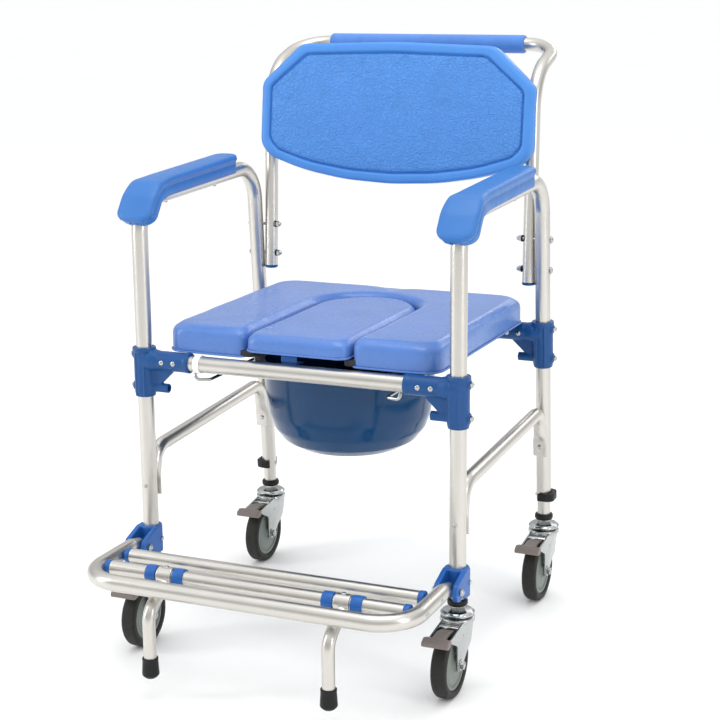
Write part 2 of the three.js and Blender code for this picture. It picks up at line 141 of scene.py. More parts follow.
def bent(corners, steps=12, spacing=None):
    """Points along a bent tube: each inner corner is (x, y, z, bend radius)."""
    points = [Vector(corners[0][:3])]
    for before, here, after in zip(corners, corners[1:], corners[2:]):
        corner, radius = Vector(here[:3]), here[3]
        back = (Vector(before[:3]) - corner).normalized()
        ahead = (Vector(after[:3]) - corner).normalized()
        half = back.angle(ahead) / 2
        centre = corner + (back + ahead).normalized() * radius / math.sin(half)
        start = corner + back * radius / math.tan(half) - centre
        turn_by = math.pi - 2 * half
        axis = back.cross(start)
        for k in range(steps + 1):
            points.append(centre + Matrix.Rotation(turn_by * k / steps, 3, axis) @ start)
    points.append(Vector(corners[-1][:3]))
    if spacing:
        runs = []
        for a, b in zip(points, points[1:]):
            count = max(1, round((b - a).length / spacing))
            runs += [a.lerp(b, k / count) for k in range(count)]
        points = runs + [points[-1]]
    return points


def skin(rings, closed=False):
    """A surface through rings of points; a closed one joins its last ring to its first."""
    bm = bmesh.new()
    surface = bm.loops.layers.uv.new("Surface")
    loops = [[bm.verts.new(p) for p in ring] for ring in rings]
    count = len(rings[0])
    widest = rings[len(rings) // 2]
    around = [0.0]
    for i in range(count):
        around.append(around[-1] + (widest[i] - widest[(i + 1) % count]).length * MM)
    along = 0.0
    for a, b in zip(loops, loops[1:] + ([loops[0]] if closed else [])):
        step = (a[0].co - b[0].co).length * MM
        for i in range(count):
            j = (i + 1) % count
            face = bm.faces.new((a[i], a[j], b[j], b[i]))
            ends = ((around[i], along), (around[i + 1], along))
            ends += ((around[i + 1], along + step), (around[i], along + step))
            for loop, uv in zip(face.loops, ends):
                loop[surface].uv = uv
        along += step
    if not closed:
        bm.faces.new(loops[0][::-1])
        bm.faces.new(loops[-1])
    bmesh.ops.remove_doubles(bm, verts=bm.verts, dist=1e-4)
    bmesh.ops.recalc_face_normals(bm, faces=bm.faces)
    return bm


def sweep(path, section, side=None, bore=0, sides=40, edge=0.5, loop=False):
    """A tube along a path. section is its radius, or gives (half width, half height) at a distance."""
    rings = []
    inner = []
    run = 0.0
    total = sum((b - a).length for a, b in zip(path, path[1:]))
    for i, p in enumerate(path):
        before = path[i - 1] if i or loop else p
        after = path[(i + 1) % len(path)] if i < len(path) - 1 or loop else p
        tangent = ((p - before).normalized() + (after - p).normalized()).normalized()
        if side is None:
            side = Vector((0, 0, 1)) if abs(tangent.z) < 0.9 else Vector((1, 0, 0))
        side = (side - tangent * side.dot(tangent)).normalized()
        up = tangent.cross(side)
        run += (p - before).length if i else 0
        wide, high = section(run, total) if callable(section) else (section, section)
        spokes = [(math.cos(a), math.sin(a)) for a in (math.tau * k / sides for k in range(sides))]
        ends = {0: 1, len(path) - 1: -1} if not loop else {}
        if i in ends and edge:
            small = [p + side * (wide - edge) * c + up * (high - edge) * s for c, s in spokes]
            full = [p + tangent * ends[i] * edge + side * wide * c + up * high * s for c, s in spokes]
            rings += [small, full] if i == 0 else [full, small]
        else:
            rings.append([p + side * wide * c + up * high * s for c, s in spokes])
        inner.append([p + side * bore * c + up * bore * s for c, s in spokes])
    return skin(rings + inner[::-1] if bore else rings, closed=bool(bore) or loop)


def turn(profile, at=(0, 0, 0), along=(0, 0, 1), sides=48, closed=False):
    """A turned solid from (radius, height) pairs about an axis through a point."""
    rings = []
    rotation = Vector((0, 0, 1)).rotation_difference(Vector(along))
    for radius, height in profile:
        angles = (math.tau * k / sides for k in range(sides))
        rings.append([
            rotation @ Vector((radius * math.cos(a), radius * math.sin(a), height)) + Vector(at)
            for a in angles
        ])
    return skin(rings, closed)


def slab(outline, low, high, edge=0.6, steps=2):
    """A flat outline in X and Y with thickness along Z and softened rims."""
    bm = bmesh.new()
    face = bm.faces.new([bm.verts.new((u, v, low)) for u, v in outline])
    made = bmesh.ops.extrude_face_region(bm, geom=[face])["geom"]
    for vert in made:
        if isinstance(vert, bmesh.types.BMVert):
            vert.co.z = high
    bmesh.ops.recalc_face_normals(bm, faces=bm.faces)
    for level in (low, high):
        rim = [e for e in bm.edges if all(abs(v.co.z - level) < 1e-6 for v in e.verts)]
        bmesh.ops.bevel(bm, geom=rim, offset=edge, segments=steps, profile=0.5, affect="EDGES",
                        clamp_overlap=True)
    return bm


def plate(outline, x0, x1, edge=0.5, steps=2):
    """A flat outline in Y and Z with thickness along X."""
    bm = slab(outline, x0, x1, edge, steps)
    bm.transform(Matrix(((0, 0, 1, 0), (1, 0, 0, 0), (0, 1, 0, 0), (0, 0, 0, 1))))
    return bm


def moved(bm, shift=(0, 0, 0), turn_by=0.0, axis="X"):
    """The same solid, turned about an axis through the origin and then moved."""
    bm.transform(Matrix.Translation(shift) @ Matrix.Rotation(turn_by, 4, axis))
    return bm


def bar(a, b, radius, sides=48, edge=0.4):
    """A round bar between two points."""
    return sweep([Vector(a), Vector(b)], radius, sides=sides, edge=edge)


def dome(at, along, radius, height):
    """A rivet or screw head with a low round top."""
    steps = 6
    arc = [(radius * math.cos(k * math.pi / 2 / steps), height * math.sin(k * math.pi / 2 / steps))
           for k in range(steps + 1)]
    return turn([(0, -1), (radius, -1), *arc], at, along, 24)


def nut(at, along, across, height, cap=0.0):
    """A hexagon nut or head with broken corners, and a round cap on an acorn nut."""
    corner = across / math.sqrt(3)
    flat = [(corner - 0.6, 0), (corner, 0.5), (corner, height - 0.5), (corner - 0.6, height)]
    bm = turn([(0, 0), *flat, (0, height)], at, along, 6)
    if cap:
        bm = join(bm, dome(Vector(at) + Vector(along) * height, along, across * 0.42, cap))
    return bm


def join(*parts):
    """Several solids as one set of loose shells."""
    whole = bmesh.new()
    for part in parts:
        shell = bpy.data.meshes.new("shell")
        part.to_mesh(shell)
        part.free()
        whole.from_mesh(shell)
        bpy.data.meshes.remove(shell)
    return whole


# ---------------------------------------------------------------- meshes and pieces
def mesh_of(bm, sharp=38):
    """A smooth-shaded mesh in metres; edges sharper than this many degrees stay crisp."""
    mesh = bpy.data.meshes.new("shape")
    bm.to_mesh(mesh)
    bm.free()
    mesh.transform(Matrix.Scale(MM, 4))
    return shaded(mesh, sharp)


def shaded(mesh, sharp=38):
    """The mesh with smooth shading and crisp sharp edges."""
    mesh.shade_smooth()
    mesh.set_sharp_from_angle(angle=math.radians(sharp))
    return mesh


def handed(mesh, side):
    """A right-hand mesh as it is, or its mirrored copy for the left."""
    if side > 0:
        return mesh
    copy = mesh.copy()
    copy.transform(Matrix.Scale(-1, 4, (1, 0, 0)))
    copy.flip_normals()
    return copy


def held(mesh):
    """A passing object that carries a mesh through modifiers."""
    obj = bpy.data.objects.new("held", mesh)
    bpy.context.scene.collection.objects.link(obj)
    return obj


def baked(obj):
    """The object's mesh with its modifiers applied; the object itself goes."""
    graph = bpy.context.evaluated_depsgraph_get()
    mesh = bpy.data.meshes.new_from_object(obj.evaluated_get(graph))
    bpy.data.objects.remove(obj)
    return mesh


def fused(mesh, voxel):
    """A passing object whose overlapping solids melt into one skin; the voxel is in metres."""
    obj = held(mesh)
    fuse = obj.modifiers.new("Fuse", "REMESH")
    fuse.mode = "VOXEL"
    fuse.voxel_size = voxel
    return obj


def carved(mesh, tool):
    """The mesh with a solid taken out of it."""
    body, tool = held(mesh), held(mesh_of(tool))
    cut = body.modifiers.new("Cut", "BOOLEAN")
    cut.operation = "DIFFERENCE"
    cut.solver = "MANIFOLD"
    cut.object = tool
    mesh = baked(body)
    bpy.data.objects.remove(tool)
    return mesh


def mould(parts, cuts=(), voxel=0.9, passes=3, sharp=38):
    """One moulding from overlapping solids: fused, softened at its edges, then bored by the cuts."""
    body = fused(mesh_of(join(*parts)), voxel * MM)
    soften = body.modifiers.new("Soften", "SMOOTH")
    soften.iterations = passes
    mesh = baked(body)
    for cut in cuts:
        mesh = carved(mesh, cut)
    return shaded(mesh, sharp)


def piece(name, mesh, body, slot, *nodes, at=(0, 0, 0), finish=None):
    """A named piece that rides on a body, wears its slot's finish and stands for its nodes."""
    obj = bpy.data.objects.new(name, mesh)
    bpy.context.scene.collection.objects.link(obj)
    obj.location = (Vector(at) + Vector((0, BENCH_Y, 0))) * MM
    if not any(mesh.materials):
        mesh.materials.clear()
        mesh.materials.append(finish_for(finish or slot))
    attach(obj, body)
    if nodes:
        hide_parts(*nodes)
    return obj


# ---------------------------------------------------------------- finishes
def srgb(code):
    """A #RRGGBB colour as linear red, green, blue and alpha."""
    parts = [int(code[i:i + 2], 16) / 255 for i in (1, 3, 5)]
    return tuple(p / 12.92 if p <= 0.04045 else ((p + 0.055) / 1.055) ** 2.4 for p in parts) + (1.0,)


def add(tree, kind, sockets, **settings):
    """Adds a node with its settings, and fills its sockets with values or with links."""
    made = tree.nodes.new(kind)
    for name, value in settings.items():
        setattr(made, name, value)
    for name, value in sockets.items():
        if isinstance(value, bpy.types.NodeSocket):
            tree.links.new(value, made.inputs[name])
        else:
            made.inputs[name].default_value = value
    return made


def start(name, roughness, metallic=0.0, ior=None, specular=0.5):
    """An empty finish: its material, node tree, shader, and place on the piece in metres."""
    material = bpy.data.materials.new(name)
    material.use_nodes = True
    tree = material.node_tree
    shader = tree.nodes["Principled BSDF"]
    shader.inputs["Roughness"].default_value = roughness
    shader.inputs["Metallic"].default_value = metallic
    shader.inputs["Specular IOR Level"].default_value = specular
    if ior:
        shader.inputs["IOR"].default_value = ior
    place = add(tree, "ShaderNodeTexCoord", {}).outputs["Object"]
    return material, tree, shader, place


def per_metre(size_mm):
    """A texture scale whose features are this many millimetres across."""
    return 1 / (size_mm * MM)


def mottle(tree, shader, place, colour, size_mm, darker, lighter):
    """Slow changes of a colour between a darker and a lighter version of itself."""
    noise = add(tree, "ShaderNodeTexNoise", {"Vector": place, "Scale": per_metre(size_mm), "Detail": 3.0})
    ramp = add(tree, "ShaderNodeValToRGB", {"Fac": noise.outputs["Fac"]})
    for stop, level, factor in ((0, 0.3, darker), (1, 0.7, lighter)):
        ramp.color_ramp.elements[stop].position = level
        ramp.color_ramp.elements[stop].color = [min(1.0, c * factor) for c in colour] + [1.0]
    tree.links.new(ramp.outputs["Color"], shader.inputs["Base Color"])


def uneven_gloss(tree, shader, place, size_mm, low, high):
    """Roughness that drifts between two values, as handling and cooling leave it."""
    noise = add(tree, "ShaderNodeTexNoise", {"Vector": place, "Scale": per_metre(size_mm), "Detail": 4.0})
    level = add(tree, "ShaderNodeMapRange", {"Value": noise.outputs["Fac"], "From Min": 0.3,
                                             "From Max": 0.7, "To Min": low, "To Max": high})
    tree.links.new(level.outputs["Result"], shader.inputs["Roughness"])


def anodised_aluminium(colours):
    """Drawn tube, etched and clear anodised: pale satin metal with faint lines along its length."""
    material, tree, shader, place = start("Satin anodised drawn aluminium", 0.3, metallic=1.0)
    mottle(tree, shader, place, colours.aluminium, 60, 0.97, 1.02)
    uneven_gloss(tree, shader, place, 60, 0.28, 0.33)
    surface = add(tree, "ShaderNodeUVMap", {}, uv_map="Surface").outputs["UV"]
    # Draw lines are a few hundredths of a millimetre apart; 3 mm is the finest that shows.
    fine_lines = (per_metre(3), per_metre(300), 1.0)
    lines = add(tree, "ShaderNodeMapping", {"Vector": surface, "Scale": fine_lines}).outputs["Vector"]
    noise = add(tree, "ShaderNodeTexNoise", {"Vector": lines, "Scale": 1.0, "Detail": 2.0})
    bump = add(tree, "ShaderNodeBump", {"Height": noise.outputs["Fac"], "Distance": 0.003 * MM})
    tree.links.new(bump.outputs["Normal"], shader.inputs["Normal"])
    return material


def bright_zinc(colours):
    """Pressed steel, bright zinc plated: cool mirror-like metal with soft cloudy spots."""
    material, tree, shader, place = start("Bright zinc plated pressed steel", 0.2, metallic=1.0)
    mottle(tree, shader, place, colours.zinc, 12, 0.94, 1.03)
    uneven_gloss(tree, shader, place, 8, 0.16, 0.24)
    noise = add(tree, "ShaderNodeTexNoise", {"Vector": place, "Scale": per_metre(7), "Detail": 1.0})
    bump = add(tree, "ShaderNodeBump", {"Height": noise.outputs["Fac"], "Distance": 0.03 * MM})
    tree.links.new(bump.outputs["Normal"], shader.inputs["Normal"])
    return material


def moulded_plastic(name, colour, roughness, texture_mm=0.8, depth_mm=0.02):
    """Moulded plastic: even colour, with the satin skin that a textured tool leaves."""
    material, tree, shader, place = start(name, roughness, ior=1.49, specular=0.35)
    mottle(tree, shader, place, colour, 40, 0.97, 1.03)
    uneven_gloss(tree, shader, place, 12, roughness - 0.05, roughness + 0.06)
    # The tool's texture is about 0.2 mm across, drawn coarser so that it shows.
    noise = add(tree, "ShaderNodeTexNoise", {"Vector": place, "Scale": per_metre(texture_mm), "Detail": 2.0})
    bump = add(tree, "ShaderNodeBump", {"Height": noise.outputs["Fac"], "Distance": depth_mm * MM})
    tree.links.new(bump.outputs["Normal"], shader.inputs["Normal"])
    return material


def tee_plastic(colours):
    """The deep blue joints."""
    return moulded_plastic("Injection moulded blue polypropylene, joints", colours.tee, 0.36)


def bracket_plastic(colours):
    """The brighter blue footrest brackets, rings and plugs."""
    return moulded_plastic("Injection moulded blue polypropylene, footrest", colours.bracket, 0.36)


def hub_plastic(colours):
    """The grey wheel centres."""
    return moulded_plastic("Injection moulded grey polypropylene", colours.hub, 0.42)


def pedal_plastic(colours):
    """The warm grey brake pedals."""
    return moulded_plastic("Injection moulded grey nylon", colours.pedal, 0.45)


def white_plastic(colours):
    """The white clip round the front cross tube."""
    return moulded_plastic("Injection moulded white nylon", colours.clip, 0.35)


def armrest_plastic(colours):
    """Blow moulded polyethylene: soft satin skin with a fine sand-like texture, in the backrest's blue
    darkened as painted shade.
    """
    # colours.armrest is the backrest's polyethylene drawn darker: painted shade on the armrest tops.
    return moulded_plastic("Blow moulded blue polyethylene, fine texture", colours.armrest, 0.4, 1.4, 0.09)


def backrest_plastic(colours):
    """The backrest's smooth rim, moulded with its panel."""
    return moulded_plastic("Blow moulded blue polyethylene, rim", colours.backrest, 0.4, 1.2, 0.04)


def grained_plastic(colours):
    """Blow moulded polyethylene off a leather-grained tool: pebbles a few millimetres across."""
    material, tree, shader, place = start("Blow moulded blue polyethylene, leather grain", 0.42,
                                          ior=1.52, specular=0.4)
    mottle(tree, shader, place, colours.backrest, 60, 0.97, 1.03)
    wander = add(tree, "ShaderNodeTexNoise", {"Vector": place, "Scale": per_metre(14), "Detail": 2.0})
    drift = (12 * MM,) * 3
    bent_place = add(tree, "ShaderNodeVectorMath", {0: wander.outputs["Color"], 1: drift, 2: place},
                     operation="MULTIPLY_ADD")
    pebbles = add(tree, "ShaderNodeTexVoronoi",
                  {"Vector": bent_place.outputs["Vector"], "Scale": per_metre(7)}, feature="DISTANCE_TO_EDGE")
    height = add(tree, "ShaderNodeMapRange", {"Value": pebbles.outputs["Distance"], "From Max": 0.16})
    coarse = add(tree, "ShaderNodeBump", {"Height": height.outputs["Result"], "Distance": 0.8 * MM})
    fine = add(tree, "ShaderNodeTexNoise", {"Vector": place, "Scale": per_metre(2.6), "Detail": 3.0})
    bump = add(tree, "ShaderNodeBump", {"Height": fine.outputs["Fac"], "Distance": 0.2 * MM,
                                        "Normal": coarse.outputs["Normal"]})
    tree.links.new(bump.outputs["Normal"], shader.inputs["Normal"])
    return material


def coated_vinyl(colours):
    """Polyurethane-coated cloth over foam: smooth, soft sheen, a very fine leather grain."""
    material, tree, shader, place = start("Polyurethane coated upholstery cloth", 0.28)
    mottle(tree, shader, place, colours.vinyl, 80, 0.95, 1.04)
    uneven_gloss(tree, shader, place, 30, 0.24, 0.33)
    shader.inputs["Sheen Weight"].default_value = 0.12
    shader.inputs["Sheen Roughness"].default_value = 0.4
    # The real grain is 0.3 mm; 1.6 mm is the finest that shows.
    grain = add(tree, "ShaderNodeTexVoronoi", {"Vector": place, "Scale": per_metre(1.6)})
    pebbled = add(tree, "ShaderNodeBump", {"Height": grain.outputs["Distance"], "Distance": 0.0015 * MM})
    swell = add(tree, "ShaderNodeTexNoise", {"Vector": place, "Scale": per_metre(60), "Detail": 0.0})
    bump = add(tree, "ShaderNodeBump", {"Height": swell.outputs["Fac"], "Distance": 0.05 * MM,
                                        "Normal": pebbled.outputs["Normal"]})
    tree.links.new(bump.outputs["Normal"], shader.inputs["Normal"])
    return material


def glossy_pail(colours):
    """Injection moulded polypropylene off a polished tool: glossy, with faint flow marks."""
    material, tree, shader, place = start("Glossy injection moulded polypropylene", 0.12,
                                          ior=1.49, specular=0.3)
    mottle(tree, shader, place, colours.pail, 70, 0.92, 1.1)
    uneven_gloss(tree, shader, place, 20, 0.09, 0.16)
    flow = add(tree, "ShaderNodeTexNoise", {"Vector": place, "Scale": per_metre(28), "Detail": 2.0,
                                            "Distortion": 1.5})
    bump = add(tree, "ShaderNodeBump", {"Height": flow.outputs["Fac"], "Distance": 0.12 * MM})
    tree.links.new(bump.outputs["Normal"], shader.inputs["Normal"])
    return material


def foam_rubber(colours):
    """Extruded closed-cell foam: matt, with pores along the skin."""
    material, tree, shader, place = start("Extruded closed-cell foam rubber", 0.72)
    mottle(tree, shader, place, colours.foam, 20, 0.9, 1.06)
    shader.inputs["Sheen Weight"].default_value = 0.25
    # Pores are about 0.3 mm, drawn at 1 mm so that they show.
    pores = add(tree, "ShaderNodeTexVoronoi", {"Vector": place, "Scale": per_metre(1.0)})
    bump = add(tree, "ShaderNodeBump", {"Height": pores.outputs["Distance"], "Distance": 0.12 * MM})
    tree.links.new(bump.outputs["Normal"], shader.inputs["Normal"])
    return material


def rubber(name, colour, roughness):
    """Moulded rubber: matt and slightly dusty, with a fine uneven skin."""
    material, tree, shader, place = start(name, roughness, ior=1.52, specular=0.3)
    mottle(tree, shader, place, colour, 8, 0.85, 1.2)
    uneven_gloss(tree, shader, place, 10, roughness - 0.08, roughness + 0.08)
    noise = add(tree, "ShaderNodeTexNoise", {"Vector": place, "Scale": per_metre(0.9), "Detail": 3.0})
    bump = add(tree, "ShaderNodeBump", {"Height": noise.outputs["Fac"], "Distance": 0.05 * MM})
    tree.links.new(bump.outputs["Normal"], shader.inputs["Normal"])
    return material


def tyre_rubber(colours):
    """The dark grey tyres."""
    return rubber("Moulded grey thermoplastic rubber", colours.tyre, 0.55)


def black_rubber(colours):
    """Tips, rings and clips."""
    return rubber("Moulded black rubber", colours.rubber, 0.5)


def stained_board(colours):
    """Plywood stained black: matt, with the grain just showing across the seat."""
    material, tree, shader, place = start("Black stained plywood", 0.6)
    fibres = (per_metre(60), per_metre(2), per_metre(2))
    stretched = add(tree, "ShaderNodeMapping", {"Vector": place, "Scale": fibres}).outputs["Vector"]
    grain = add(tree, "ShaderNodeTexNoise", {"Vector": stretched, "Scale": 1.0, "Detail": 4.0})
    ramp = add(tree, "ShaderNodeValToRGB", {"Fac": grain.outputs["Fac"]})
    ramp.color_ramp.elements[0].color = srgb("#141416")
    ramp.color_ramp.elements[1].color = srgb("#2C2D31")
    tree.links.new(ramp.outputs["Color"], shader.inputs["Base Color"])
    bump = add(tree, "ShaderNodeBump", {"Height": grain.outputs["Fac"], "Distance": 0.1 * MM})
    tree.links.new(bump.outputs["Normal"], shader.inputs["Normal"])
    return material


def pale_floor(colours):
    """Painted studio floor: matt, almost white."""
    material, tree, shader, place = start("Matt painted floor", 0.8)
    mottle(tree, shader, place, colours.floor, 900, 0.99, 1.0)
    return material


FINISHES = {
    "anodised_tube": anodised_aluminium, "zinc_steel": bright_zinc, "zinc_wire": bright_zinc,
    "tee_plastic": tee_plastic, "bracket_plastic": bracket_plastic, "hub_plastic": hub_plastic,
    "pedal_plastic": pedal_plastic, "white_plastic": white_plastic, "armrest_plastic": armrest_plastic,
    "backrest_plastic": backrest_plastic, "grained_plastic": grained_plastic, "seat_vinyl": coated_vinyl,
    "pail_plastic": glossy_pail, "grip_foam": foam_rubber, "tyre_rubber": tyre_rubber,
    "black_rubber": black_rubber, "seat_board": stained_board, "floor": pale_floor,
}
made_finishes = {}


def finish_for(slot):
    """The material for a slot, made the first time it is asked for."""
    maker = FINISHES[slot]
    if maker not in made_finishes:
        made_finishes[maker] = maker(bpy.context.scene.chair_colours)
    return made_finishes[maker]


# ---------------------------------------------------------------- what a user can change
def colour(name, description, code):
    """A colour property with a default given as #RRGGBB."""
    return FloatVectorProperty(name=name, description=description, subtype="COLOR", size=3,
                               min=0.0, max=1.0, default=srgb(code)[:3])


def length(name, description, default_mm):
    """A length property with a default in millimetres."""
    return FloatProperty(name=name, description=description, default=default_mm * MM, unit="LENGTH",
                         min=0.0, precision=4)


class ChairColours(bpy.types.PropertyGroup):
    """Colours of the chair's finishes."""

    aluminium: colour("Aluminium", "Anodised tubes", "#CBC8C2")
    zinc: colour("Zinc", "Plated casters, wires and fasteners", "#B4B7B6")
    tee: colour("Joints", "Moulded tee joints", "#114984")
    bracket: colour("Footrest blue", "Footrest brackets, rings and plugs", "#215CA6")
    backrest: colour("Backrest", "Blow moulded backrest", "#4886D0")
    # Armrests: the same polyethylene as the backrest, drawn a darker blue as painted shade on their tops.
    armrest: colour("Armrests", "Blow moulded armrest shells", "#3670B6")
    vinyl: colour("Seat cover", "Coated cloth of the seat and its insert", "#5079BF")
    pail: colour("Pail", "Pail under the seat", "#11406B")
    foam: colour("Grip", "Foam grip of the push bar", "#4A7FC8")
    tyre: colour("Tyres", "Rubber of the wheels", "#22211F")
    hub: colour("Hubs", "Plastic centres of the wheels", "#7A817C")
    pedal: colour("Pedals", "Brake pedals", "#7A716C")
    rubber: colour("Rubber", "Tips, rings and clips", "#0E0E0F")
    clip: colour("Tube clip", "White clip round the front cross tube", "#F0F0EC")
    floor: colour("Floor", "Studio floor", "#FDFDFC")


class ChairSizes(bpy.types.PropertyGroup):
    """Sizes of the finished pieces."""

    bend_edge: length("Tube edge", "Broken edge at a cut tube end", 0.5)
    moulding_voxel: length("Moulding detail", "Fineness of the moulded joints", 0.9)
    pad_swell: length("Pad swell", "How far the foam may push the seat cover out", 2.2)
    pad_voxel: length("Pad detail", "Fineness of the simulated seat cover", 4.0)


# ---------------------------------------------------------------- side frames
def side_frame_path(side):
    """Axis of a side frame: front leg, arm run and rear leg."""
    arm_front, arm_rear = 700.9, 713.9
    x = side * LEG_X
    return bent([
        (x, -LEG_Y, FRONT_LEG_END),
        (x, -LEG_Y, arm_front, 50),
        (x, rear_leg(arm_rear), arm_rear, 60),
        (x, rear_leg(REAR_LEG_END), REAR_LEG_END),
    ], steps=20)


class COMMODE_OT_side_frames(bpy.types.Operator):
    """Bends the two side frames and the two cross tubes under the seat."""

    bl_idname = "commode.side_frames"
    bl_label = "Side Frames"

    def execute(self, context):
        edge = context.scene.chair_sizes.bend_edge / MM
        for side, name in PAIRS:
            path = side_frame_path(side)
            tube = sweep(path, TUBE_R, Vector((1, 0, 0)), bore=TUBE_R - 1.2, sides=48, edge=edge)
            piece(f"side_tube_{name}", mesh_of(tube), "frame", "anodised_tube", f"side_frame_{name}")
        half = span("front_cross_tube")[1].x
        for y, name in ((-LEG_Y, "front"), (LEG_Y, "rear")):
            ends = [Vector((-half, y, CROSS_Z)), Vector((half, y, CROSS_Z))]
            tube = sweep(ends, TUBE_R, bore=TUBE_R - 1.5, sides=48, edge=edge)
            piece(f"{name}_seat_tube", mesh_of(tube), "frame", "anodised_tube", f"{name}_cross_tube")
        return {"FINISHED"}


class COMMODE_OT_side_braces(bpy.types.Operator):
    """Bends the side braces, with flattened ends screwed to the legs."""

    bl_idname = "commode.side_braces"
    bl_label = "Side Braces"

    def execute(self, context):
        radius = 11
        flat = 2.2  # half thickness of a flattened end
        front_face = -LEG_Y + TUBE_R + 0.5
        rear_face = rear_leg(300) - TUBE_R - 0.5
        path = bent([
            (LEG_X, front_face + flat, 236),
            (LEG_X, front_face + flat, 266, 40),
            (LEG_X, front_face + radius, 309, 30),
            (LEG_X, rear_face - radius, 328, 30),
            (LEG_X, rear_face - flat - 2, 282, 60),
            (LEG_X, rear_face - flat + 1.5, 248),
        ], steps=10, spacing=4)

        def section(run, total):
            ease = eased((min(run, total - run) - 22) / 22)
            return radius + 1.5 * (1 - ease), flat + (radius - flat) * ease

        brace = mesh_of(sweep(path, section, Vector((1, 0, 0)), sides=40))
        screws = mesh_of(join(
            dome((LEG_X, front_face + 2 * flat, 252), (0, 1, 0), 4.2, 2.4),
            dome((LEG_X, -LEG_Y - TUBE_R, 256), (0, -1, 0), 3.6, 2.0),
            dome((LEG_X, rear_face - 2 * flat, 264), (0, -1, 0), 4.2, 2.4),
            dome((LEG_X, rear_leg(264) + TUBE_R, 264), (0, 1, 0), 3.6, 2.0),
        ))
        for side, name in PAIRS:
            piece(f"brace_tube_{name}", handed(brace, side), "frame", "anodised_tube",
                  f"side_brace_{name}")
            piece(f"brace_screws_{name}", handed(screws, side), "frame", "zinc_steel")
        return {"FINISHED"}


# ---------------------------------------------------------------- tee joints
class COMMODE_OT_tee_joints(bpy.types.Operator):
    """Moulds the four blue joints between the legs and the seat tubes, with rivets and nuts."""

    bl_idname = "commode.tee_joints"
    bl_label = "Tee Joints"

    def execute(self, context):
        voxel = context.scene.chair_sizes.moulding_voxel / MM
        bosses, peg_z, wall = (8, -42), -43, 15.1  # bolt heights, peg height and an arm's outer face
        for front, name in ((True, "front"), (False, "rear")):
            lean = 0.0 if front else math.atan(REAR_LEAN)
            at = (LEG_X, -LEG_Y if front else LEG_Y, CROSS_Z)
            sleeve = rounded([(0, -57.5), (15.4, -57.5, 0.8), (16.6, -50, 1), (16.6, 12.5, 1),
                              (18.3, 14.5, 1), (18.3, 20, 1), (0, 20)], closed=False, steps=3)
            arm = rounded([(0, 0), (17.5, 0), (17.5, 16, 4), (15.2, 27, 4), (15.2, 74, 1), (15.8, 75.5, 1),
                           (15.8, 81.5, 1), (0, 81.5)], closed=False, steps=3)
            web = [(0, -5), (-54, -5), (-54, -13), (-31, -35), (0, -41)]
            parts = [
                turn(sleeve, sides=64),
                turn(arm, along=(-1, 0, 0), sides=64),
                moved(slab(web, -4, 4, edge=0.8), turn_by=math.pi / 2),
                bar((-10, 0, peg_z), (-42, 0, peg_z), 7.2),
                *(bar((x, -15.6, -56), (x, -15.6, 12), 1.3, sides=12) for x in (7, -7)),
            ]
            for z in bosses:
                boss = rounded([(0, 8), (8.6, 8), (8.2, 18, 1.2), (0, 19)], closed=False, steps=3)
                parts.append(turn(boss, at=(0, 0, z), along=(1, 0, 0), sides=40))
            cuts = [
                bar((0, 0, -60), (0, 0, 23), TUBE_R + 0.25, sides=64, edge=0),
                bar((-16, 0, 0), (-84, 0, 0), TUBE_R + 0.25, sides=64, edge=0),
                bar((-20, 0, peg_z), (-44, 0, peg_z), 5.0, sides=32, edge=0),
            ]
            joint = mould(parts, cuts, voxel)
            joint.transform(Matrix.Rotation(lean, 4, "X"))
            outer = -1 if front else 1
            steel = [dome((x, face * wall, 0), (0, face, 0), 4.1, 2.2)
                     for face in (outer, -outer) for x in (-37.5, -57.5)]
            for z in bosses:
                steel.append(nut((18.6, 0, z), (1, 0, 0), 8, 3.2, cap=2.2))
                steel.append(dome((-16.4, 0, z + (6 if z > 0 else 12)), (-1, 0, 0), 3.4, 1.8))
            steel = mesh_of(moved(join(*steel), turn_by=lean))
            for side, hand in PAIRS:
                place = (side * at[0], at[1], at[2])
                piece(f"tee_{name}_{hand}", handed(joint, side), "frame", "tee_plastic",
                      f"tee_joint_{name}_{hand}", at=place)
                piece(f"tee_fasteners_{name}_{hand}", handed(steel, side), "frame",
                      "zinc_steel", at=place)
        return {"FINISHED"}


# ---------------------------------------------------------------- armrests
class COMMODE_OT_armrests(bpy.types.Operator):
    """Blow moulds the armrest shells, with a lip round the top and a nose that turns down."""

    bl_idname = "commode.armrests"
    bl_label = "Armrests"

    def execute(self, context):
        top = rounded([(90, 744), (-136, 734.5, 60), (-178, 731, 26), (-204, 710, 40), (-228, 676)],
                      closed=False, steps=10)
        under = rounded([(90, 711.5), (-150, 702, 20), (-172, 699, 14), (-188, 676, 10), (-207, 664.5)],
                        closed=False, steps=10)
        count = 96
        upper, lower = spread(top, count), spread(under, count)
        total = sum((a - b).length for a, b in zip(upper, upper[1:]))
        rings = []
        run = 0.0
        for i, (high, low) in enumerate(zip(upper, lower)):
            run += (high - upper[i - 1]).length if i else 0
            ahead = total - run
            half = 22.3 + 7 * eased((120 - ahead) / 75)  # the nose widens over its last 120 mm
            half -= corner_loss(run, 12) + corner_loss(ahead, 19)
            up = (high - low).normalized()
            tall = (high - low).length
            drop = corner_loss(run, 5) + corner_loss(ahead, 7)
            centre = (high + low) / 2
            rings.append([
                Vector((LEG_X + u * half, *(centre + up * (v * tall - (drop if v > 0 else 0)))))
                for u, v in armrest_section(half)
            ])
        tube = sweep(side_frame_path(1), TUBE_R + 0.3, Vector((1, 0, 0)), sides=48)
        shell = shaded(carved(mesh_of(skin(rings)), tube), 50)
        heads = [dome((LEG_X, y, z), (0, 0, -1), 4, 2.2) for y, z in ((40, 696.6), (-120, 691.2))]
        screws = mesh_of(join(*heads))
        for side, name in PAIRS:
            piece(f"armrest_shell_{name}", handed(shell, side), "frame", "armrest_plastic",
                  f"armrest_{name}")
            piece(f"armrest_screws_{name}", handed(screws, side), "frame", "zinc_steel")
        return {"FINISHED"}


